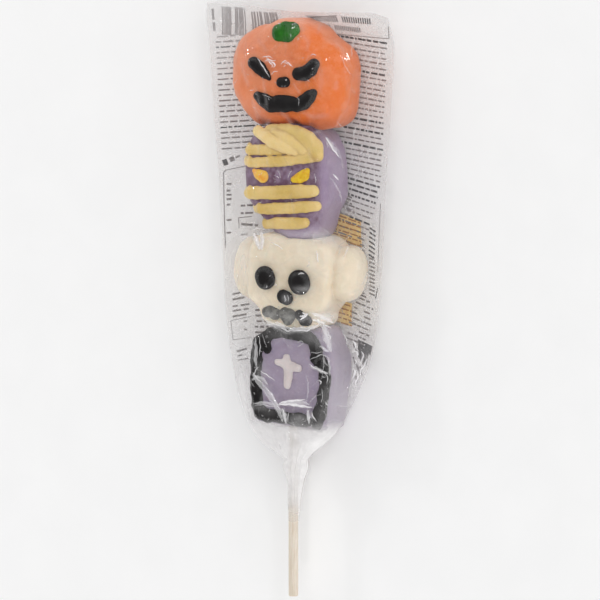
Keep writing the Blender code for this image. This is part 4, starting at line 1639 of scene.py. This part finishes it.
film_folds = mesh_object("film_folds", pts, quads, FILM_FOLD)
float_layer(film_folds, "haze", np.clip(highlight_milk, 0, 0.95))
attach(film_folds, "root")
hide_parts("sealed_bag")

# ------------------------------------------------------------------ print on the back film


def on_back(px, py):
    return on_sheet(back_height, px, py, 6.0)


class Print:
    """Small flat marks on the inner side of the back film, cut into pieces short enough to follow it."""

    def __init__(self):
        self.points, self.faces = [], []

    def quad(self, a, b, c, d):
        n = len(self.points)
        self.points += [a, b, c, d]
        self.faces.append((n, n + 1, n + 2, n + 3))

    def bar(self, x0, y0, x1, y1, half):
        """A thin straight bar from one point to the other."""
        long = math.hypot(x1 - x0, y1 - y0)
        if long < 1e-6:
            return
        n = max(1, int(long / 1.6))
        ux, uy = (x1 - x0) / long, (y1 - y0) / long
        ox, oy = -uy * half, ux * half
        for k in range(n):
            ax, ay = x0 + ux * long * k / n, y0 + uy * long * k / n
            bx_, by_ = x0 + ux * long * (k + 1) / n, y0 + uy * long * (k + 1) / n
            self.quad((ax + ox, ay + oy), (ax - ox, ay - oy), (bx_ - ox, by_ - oy), (bx_ + ox, by_ + oy))

    def row(self, x0, y0, x1, y1, tall, dense=1.0, unit=0.46):
        """A row of plain dashes of uneven length."""
        long = math.hypot(x1 - x0, y1 - y0)
        ux, uy = (x1 - x0) / long, (y1 - y0) / long
        t = 0.0
        while t < long - unit:
            w = min(unit * rng.uniform(2.0, 10.0), long - t)
            if rng.uniform() < dense:
                self.bar(x0 + ux * t, y0 + uy * t, x0 + ux * (t + w), y0 + uy * (t + w), tall * rng.uniform(0.30, 0.36))
            t += w + unit * rng.uniform(1.0, 2.0)

    def comb(self, x0, y0, x1, y1, tall, wide, gap):
        """A row of equal upright marks."""
        long = math.hypot(x1 - x0, y1 - y0)
        ux, uy = (x1 - x0) / long, (y1 - y0) / long
        for t in np.arange(0.0, long - wide, wide + gap):
            ax, ay = x0 + ux * t, y0 + uy * t
            bx_, by_ = ax + ux * wide, ay + uy * wide
            ox, oy = -uy * tall / 2, ux * tall / 2
            self.quad((ax + ox, ay + oy), (ax - ox, ay - oy), (bx_ - ox, by_ - oy), (bx_ + ox, by_ + oy))

    def field(self, corners, step=1.5):
        """A filled four-sided patch, gridded."""
        (ax, ay), (bx_, by_), (cx_, cy_), (dx, dy) = corners
        n = max(2, int(max(math.hypot(bx_ - ax, by_ - ay), math.hypot(dx - ax, dy - ay)) / step))
        def at(s, t):
            return (
                (ax * (1 - s) + bx_ * s) * (1 - t) + (dx * (1 - s) + cx_ * s) * t,
                (ay * (1 - s) + by_ * s) * (1 - t) + (dy * (1 - s) + cy_ * s) * t,
            )
        for a in range(n):
            for b in range(n):
                self.quad(at(a / n, b / n), at((a + 1) / n, b / n), at((a + 1) / n, (b + 1) / n), at(a / n, (b + 1) / n))

    def make(self, name, mat, above, slot="film_print"):
        pts = np.array(self.points)
        inside = np.ones(len(self.faces), bool)
        faces = np.array(self.faces)
        left = stations(EDGE_STATIONS, 1, pts[:, 1]) + 0.8
        right = stations(EDGE_STATIONS, 2, pts[:, 1]) - 0.8
        share = np.clip((pts[:, 0] - left) / (right - left), 0, 1)
        good = (pts[:, 0] > left) & (pts[:, 0] < right) & (pts[:, 1] < TOP_Y + top_edge(share) - 1.2) & (pts[:, 1] > -60)
        inside = good[faces].all(axis=1)
        faces = faces[inside]
        used, again = np.unique(faces, return_inverse=True)
        pts = pts[used]
        faces = again.reshape(faces.shape)
        z = back_height.at(pts[:, 0], pts[:, 1]) + above
        obj = mesh_object(name, np.column_stack([pts, z]), faces, mat, smooth_shade=False)
        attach(obj, "root")
        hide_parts("sealed_bag")
        return obj


thin, bold, tan, brown = Print(), Print(), Print(), Print()


def line_px(target, a, b, half=0.16):
    p, q = on_back(*a), on_back(*b)
    target.bar(p[0], p[1], q[0], q[1], half)


def comb_px(target, a, b, tall, wide, gap):
    p, q = on_back(*a), on_back(*b)
    target.comb(p[0], p[1], q[0], q[1], tall, wide, gap)


def row_px(target, a, b, tall, **kw):
    p, q = on_back(*a), on_back(*b)
    target.row(p[0], p[1], q[0], q[1], tall, **kw)


# Rows of the left margin, rising a little to the right, on behind the marshmallows.
for k, py in enumerate(np.arange(41.5, 153, 5.35)):
    a = on_back(215.5 + 0.055 * (py - 40), py)
    b = on_back(258, py - 0.055 * 44)
    (bold if k in (1, 16) else thin).row(a[0], a[1], b[0], b[1], 1.0)
    thin.row(b[0] + 0.8, b[1], 1.0, b[1] + 0.3, 1.0)
# Rows of the right margin slope down, more so lower down.
SLOPE = ((44, 10.0), (120, 10.0), (165, 12.5), (190, 17.0), (225, 22.0), (300, 23.0), (350, 22.0))
END = ((44, 387.5), (100, 385.5), (140, 384), (180, 381), (204, 377), (246, 365), (298, 366), (300, 374.5), (330, 371.5), (350, 368))
for k, py in enumerate(np.arange(44.5, 349, 5.3)):
    tilt = math.tan(math.radians(np.interp(py, *zip(*SLOPE))))
    right_px = np.interp(py, *zip(*END)) - few.uniform(0, 1.5)
    left_px = np.interp(py, (44, 205, 250, 296, 297, 350), (330, 340, 362, 360, 354, 346))
    heavy = k in (0, 6, 15, 17, 20, 27, 28, 29, 30, 34)
    a, b = on_back(left_px, py - tilt * (right_px - left_px)), on_back(right_px, py)
    (bold if heavy else thin).row(a[0], a[1], b[0], b[1], 1.35 if heavy else 1.05, dense=0.78 if py > 296 else 1.0)
    if py < 200:
        thin.row(3.0, a[1] + tilt * 0.55 * (a[0] - 3.0), a[0] - 0.8, a[1], 1.0)
    elif 205 < py < 296:
        thin.row(4.0, a[1] + 4.0, 21.0, a[1], 1.0)

# Plain bars at the top left, their tops along the seal.
for x, w in (
    (222.6, 0.5), (224.6, 0.35), (226.6, 0.7), (229.6, 0.95), (235.4, 0.5), (237.2, 0.6), (239.4, 0.5), (241.6, 0.9),
    (244.4, 0.35), (251.4, 0.5), (253.8, 0.6), (256.6, 0.45), (259.6, 0.8), (263.4, 0.5), (265.8, 0.9), (269.0, 0.6),
    (271.6, 0.9), (274.8, 0.7),
):
    top_py = 6.2 + 0.05 * (x - 222)
    low_py = 34.5 - 0.12 * max(x - 244, 0)
    lean = 0.20 * max(x - 236, 0) / 40 * (low_py - top_py)
    line_px(thin, (x, top_py), (x + lean, low_py), w * 0.72)
row_px(thin, (217, 36.4), (244, 34.2), 0.9, unit=0.9)
row_px(thin, (212.4, 8), (214.6, 33), 1.6, unit=0.6)

# A box at the top right with two rows of blocks.
line_px(thin, (311, 17.6), (350, 15.4), 0.2)
line_px(thin, (350, 15.4), (384, 18.6), 0.2)
line_px(thin, (388, 19.5), (388.6, 40), 0.2)
line_px(thin, (316, 32.2), (388.6, 40), 0.16)
comb_px(bold, (309, 18.2), (338, 19.8), 2.6, 0.62, 0.5)
comb_px(bold, (342, 20.1), (371, 22.6), 2.6, 0.62, 0.5)
comb_px(bold, (317, 25.4), (331, 27.2), 2.1, 0.48, 0.52)
comb_px(bold, (335, 27.6), (362, 31.2), 2.1, 0.48, 0.52)

# Left: a heavy mark, a ruled frame, dashes, rows and a small box.
line_px(bold, (222.8, 162.6), (227.4, 161.2), 1.3)
line_px(thin, (229.6, 159.6), (234.0, 157.8), 1.0)
line_px(thin, (235.4, 157.2), (240.0, 155.2), 0.35)
line_px(thin, (223.4, 172), (224.2, 214), 0.2)
line_px(thin, (224.2, 214), (225.6, 255), 0.2)
line_px(thin, (223.4, 172), (226, 169.6), 0.2)
line_px(thin, (226, 169.6), (246, 165.6), 0.16)
for py in (183.6, 190.4, 194.6, 199, 204.4, 219.8, 232.6):
    row_px(thin, (226.4, py), (231.4, py - 0.3), 1.3)
for py in (205.4, 213):
    row_px(thin, (240.6, py), (253, py - 0.6), 1.3)
line_px(thin, (238.5, 217.4), (252, 216.2))
line_px(thin, (238.5, 217.4), (239, 228))
row_px(thin, (241, 223.8), (258, 225.2), 1.4)
row_px(thin, (240.6, 234.6), (250, 233.6), 1.1)
for py, long in ((294.2, 11), (299.6, 12), (306.4, 17), (311, 16), (316.6, 14)):
    row_px(thin, (232.4, py), (232.4 + long, py - 2.4), 1.2, unit=0.7)
line_px(thin, (230.6, 320.6), (233, 340), 0.12)
line_px(thin, (230.6, 320.6), (251, 316.4), 0.12)
line_px(thin, (233, 340), (252, 337.4), 0.12)
line_px(thin, (243.6, 321.4), (247.0, 321.0), 0.3)
line_px(thin, (244.2, 329.8), (246.8, 329.4), 0.3)
line_px(thin, (236.8, 351.6), (246.6, 348.8), 0.4)
line_px(thin, (237.4, 356.2), (242.4, 355.0), 0.35)
line_px(thin, (237.8, 360.4), (248.0, 358.6), 0.25)

# Right: a long rule and a column of upright marks.
line_px(thin, (380.4, 204), (379.4, 226), 0.2)
line_px(thin, (379.4, 226), (377.6, 272), 0.2)
for py in np.arange(228, 256, 4.4):
    line_px(bold, (369.6 - 0.04 * (py - 228), py), (375.6 - 0.04 * (py - 228), py + 4.0), 0.4)
for py in np.arange(258, 296, 3.9):
    line_px(thin, (369.2, py), (375.0, py + 2.4), 0.4)
line_px(bold, (377.6, 288), (375.6, 299), 0.3)

# Tan fields with brown rows.
tan.field([on_back(329, 209.8), on_back(361, 221), on_back(362, 247.5), on_back(331, 238.5)])
for k in range(6):
    row_px(brown, (330, 212.6 + 4.9 * k), (361, 223.4 + 4.6 * k), 0.9, unit=0.5)
tan.field([on_back(335, 299.5), on_back(352, 303.4), on_back(351.6, 326.5), on_back(334, 320)])
for k in range(5):
    row_px(brown, (334.6, 301.8 + 4.8 * k), (352, 306.6 + 4.8 * k), 0.9, unit=0.5)
bold.field([on_back(358.4, 339.4), on_back(375, 347.2), on_back(370.2, 370), on_back(357.6, 356)])
for qx, qy, dx, dy, half in (
    (353.6, 344, 3.0, 9.0, 0.5),
    (357.8, 352, 3.4, 9.4, 0.6),
    (353.0, 357, 2.6, 8.0, 0.5),
    (361.8, 356, 2.0, 10.0, 0.7),
    (357.4, 366, 2.4, 8.0, 0.5),
    (353.2, 370, 2.8, 9.0, 0.45),
    (356.0, 345, 2.4, 7.0, 0.4),
    (355.4, 361, 2.6, 9.0, 0.5),
    (360.0, 366, 1.8, 9.0, 0.5),
    (356.0, 376, 1.8, 7.0, 0.4),
):
    line_px(thin, (qx, qy), (qx + dx, qy + dy), half)
# The tan fields continue behind, where only the back shows them.
tan.field([(-9, 42), (10, 40), (10, 28), (-9, 30)])
for k in range(4):
    brown.row(-8, 39.8 - 2.6 * k, 9.4, 38.0 - 2.6 * k, 1.0)
for y in np.arange(26, -24, -2.4):
    thin.row(-23 + few.uniform(-1, 1), y, -4 + few.uniform(-2, 8), y + 0.3, 1.3)

tan.make("print_tan", TAN_INK, 0.05)
brown.make("print_brown", BROWN_INK, 0.09)
thin.make("print_grey", INK, 0.07)
bold.make("print_dark", DARK_INK, 0.07)

# ------------------------------------------------------------------ the stick
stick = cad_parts["stick"]
stick.data.materials.clear()
stick.data.materials.append(STICK_WOOD)

# The stretch inside the bag that shows between the waist and the lowest marshmallow.
def rod(name, y0, y1, radius, n=40, m=24):
    ys = np.linspace(y0, y1, m)
    a = np.linspace(0, 2 * math.pi, n, endpoint=False)
    aa_, yy_ = np.meshgrid(a, ys)
    p = np.stack([-1.7 + radius * np.cos(aa_).ravel(), yy_.ravel(), MID_Z + radius * np.sin(aa_).ravel()], axis=1)
    i_ = (np.arange(m - 1)[:, None] * n + np.arange(n)[None, :]).ravel()
    j_ = (np.arange(m - 1)[:, None] * n + (np.arange(n) + 1)[None, :] % n).ravel()
    obj = mesh_object(name, p, np.stack([i_, i_ + n, j_ + n, j_], axis=1), STICK_WOOD)
    bm = bmesh.new()
    bm.from_mesh(obj.data)
    bmesh.ops.holes_fill(bm, edges=[e for e in bm.edges if e.is_boundary], sides=0)
    bmesh.ops.recalc_face_normals(bm, faces=bm.faces[:])
    bm.to_mesh(obj.data)
    bm.free()
    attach(obj, "root")
    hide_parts("sealed_bag")
    return obj


rod("stick_inside", -55.4, -45.0, 2.02)

# ------------------------------------------------------------------ floor, light, camera
def floor():
    mat, nt, p = shader("pale_floor")
    obj = nt.nodes.new("ShaderNodeTexCoord").outputs["Object"]
    grain = noise_node(nt, obj, 40, 2.0)
    base = mix(nt, ramp(nt, grain.outputs["Fac"], [(0.3, (0, 0, 0)), (0.7, (1, 1, 1))]), (0.965, 0.965, 0.965), (0.985, 0.985, 0.985))
    nt.links.new(base, p.inputs["Base Color"])
    p.inputs["Roughness"].default_value = 0.7
    p.inputs["Specular IOR Level"].default_value = 0.1
    half = 3000.0
    obj = mesh_object("floor", [(-half, -half, 0), (half, -half, 0), (half, half, 0), (-half, half, 0)], [(0, 1, 2, 3)], mat, False)
    obj.location.z = -0.00002
    return obj


floor()

scene = bpy.context.scene
def soft_room(strength, dark, axis):
    """A bright room with a dim place in it, where the flat film looks when seen from the camera's side."""
    world = bpy.data.worlds.new("soft_room")
    world.use_nodes = True
    nt = world.node_tree
    place = nt.nodes.new("ShaderNodeTexCoord").outputs["Generated"]
    dot = nt.nodes.new("ShaderNodeVectorMath")
    dot.operation = "DOT_PRODUCT"
    nt.links.new(place, dot.inputs[0])
    dot.inputs[1].default_value = Vector(axis).normalized()
    span = nt.nodes.new("ShaderNodeMapRange")
    span.interpolation_type = "SMOOTHSTEP"
    span.inputs["From Min"].default_value = 0.78
    span.inputs["From Max"].default_value = 0.955
    span.inputs["To Min"].default_value = strength
    span.inputs["To Max"].default_value = dark
    nt.links.new(dot.outputs["Value"], span.inputs["Value"])
    background = nt.nodes["Background"]
    background.inputs["Color"].default_value = (1.0, 1.0, 1.0, 1)
    nt.links.new(span.outputs[0], background.inputs["Strength"])
    return world


scene.world = soft_room(1.06, 0.12, (-0.42, -0.12, 0.90))


def lamp(name, direction, distance, size, radiance, aim=(0.0, 10.0, 12.0)):
    """A square lamp of the given brightness, looking at the aim."""
    d = Vector(direction).normalized()
    data = bpy.data.lights.new(name, "AREA")
    data.shape = "RECTANGLE"
    data.size, data.size_y = size[0] * MM, size[1] * MM
    data.energy = radiance * math.pi * size[0] * size[1] * MM * MM
    obj = bpy.data.objects.new(name, data)
    obj.location = (Vector(aim) + d * distance) * MM
    obj.rotation_mode = "QUATERNION"
    obj.rotation_quaternion = d.to_track_quat("Z", "Y")
    bpy.context.scene.collection.objects.link(obj)
    return obj


lamp("key", (0.62, 0.60, 0.66), 1000, (70, 70), 32.0)
lamp("left", (-0.80, 0.42, 0.50), 1000, (60, 60), 50.0)
lamp("low", (0.05, -0.80, 0.62), 1000, (60, 60), 45.0)

camera = bpy.data.cameras.new("camera")
cam = bpy.data.objects.new("camera", camera)
scene.collection.objects.link(cam)
away = Vector(
    (math.sin(TURN) * math.cos(LIFT), math.sin(LIFT), math.cos(TURN) * math.cos(LIFT))
)
right = Vector((math.cos(TURN), 0.0, -math.sin(TURN)))
up = away.cross(right)
ax_, ay_ = at_view(300.0, 300.0, MID_Z)
DISTANCE = 5200.0
cam.matrix_world = Matrix(
    (
        (right.x, up.x, away.x, (ax_ + away.x * DISTANCE) * MM),
        (right.y, up.y, away.y, (ay_ + away.y * DISTANCE) * MM),
        (right.z, up.z, away.z, (MID_Z + away.z * DISTANCE) * MM),
        (0, 0, 0, 1),
    )
)
camera.sensor_width = 36.0
camera.lens = 36.0 * DISTANCE / (600 * MM_PER_PX)
camera.clip_start, camera.clip_end = 0.05, 20.0
scene.camera = cam

scene.view_settings.view_transform = "Standard"
scene.view_settings.look = "None"
scene.cycles.transparent_max_bounces = 24
scene.cycles.use_denoising = True
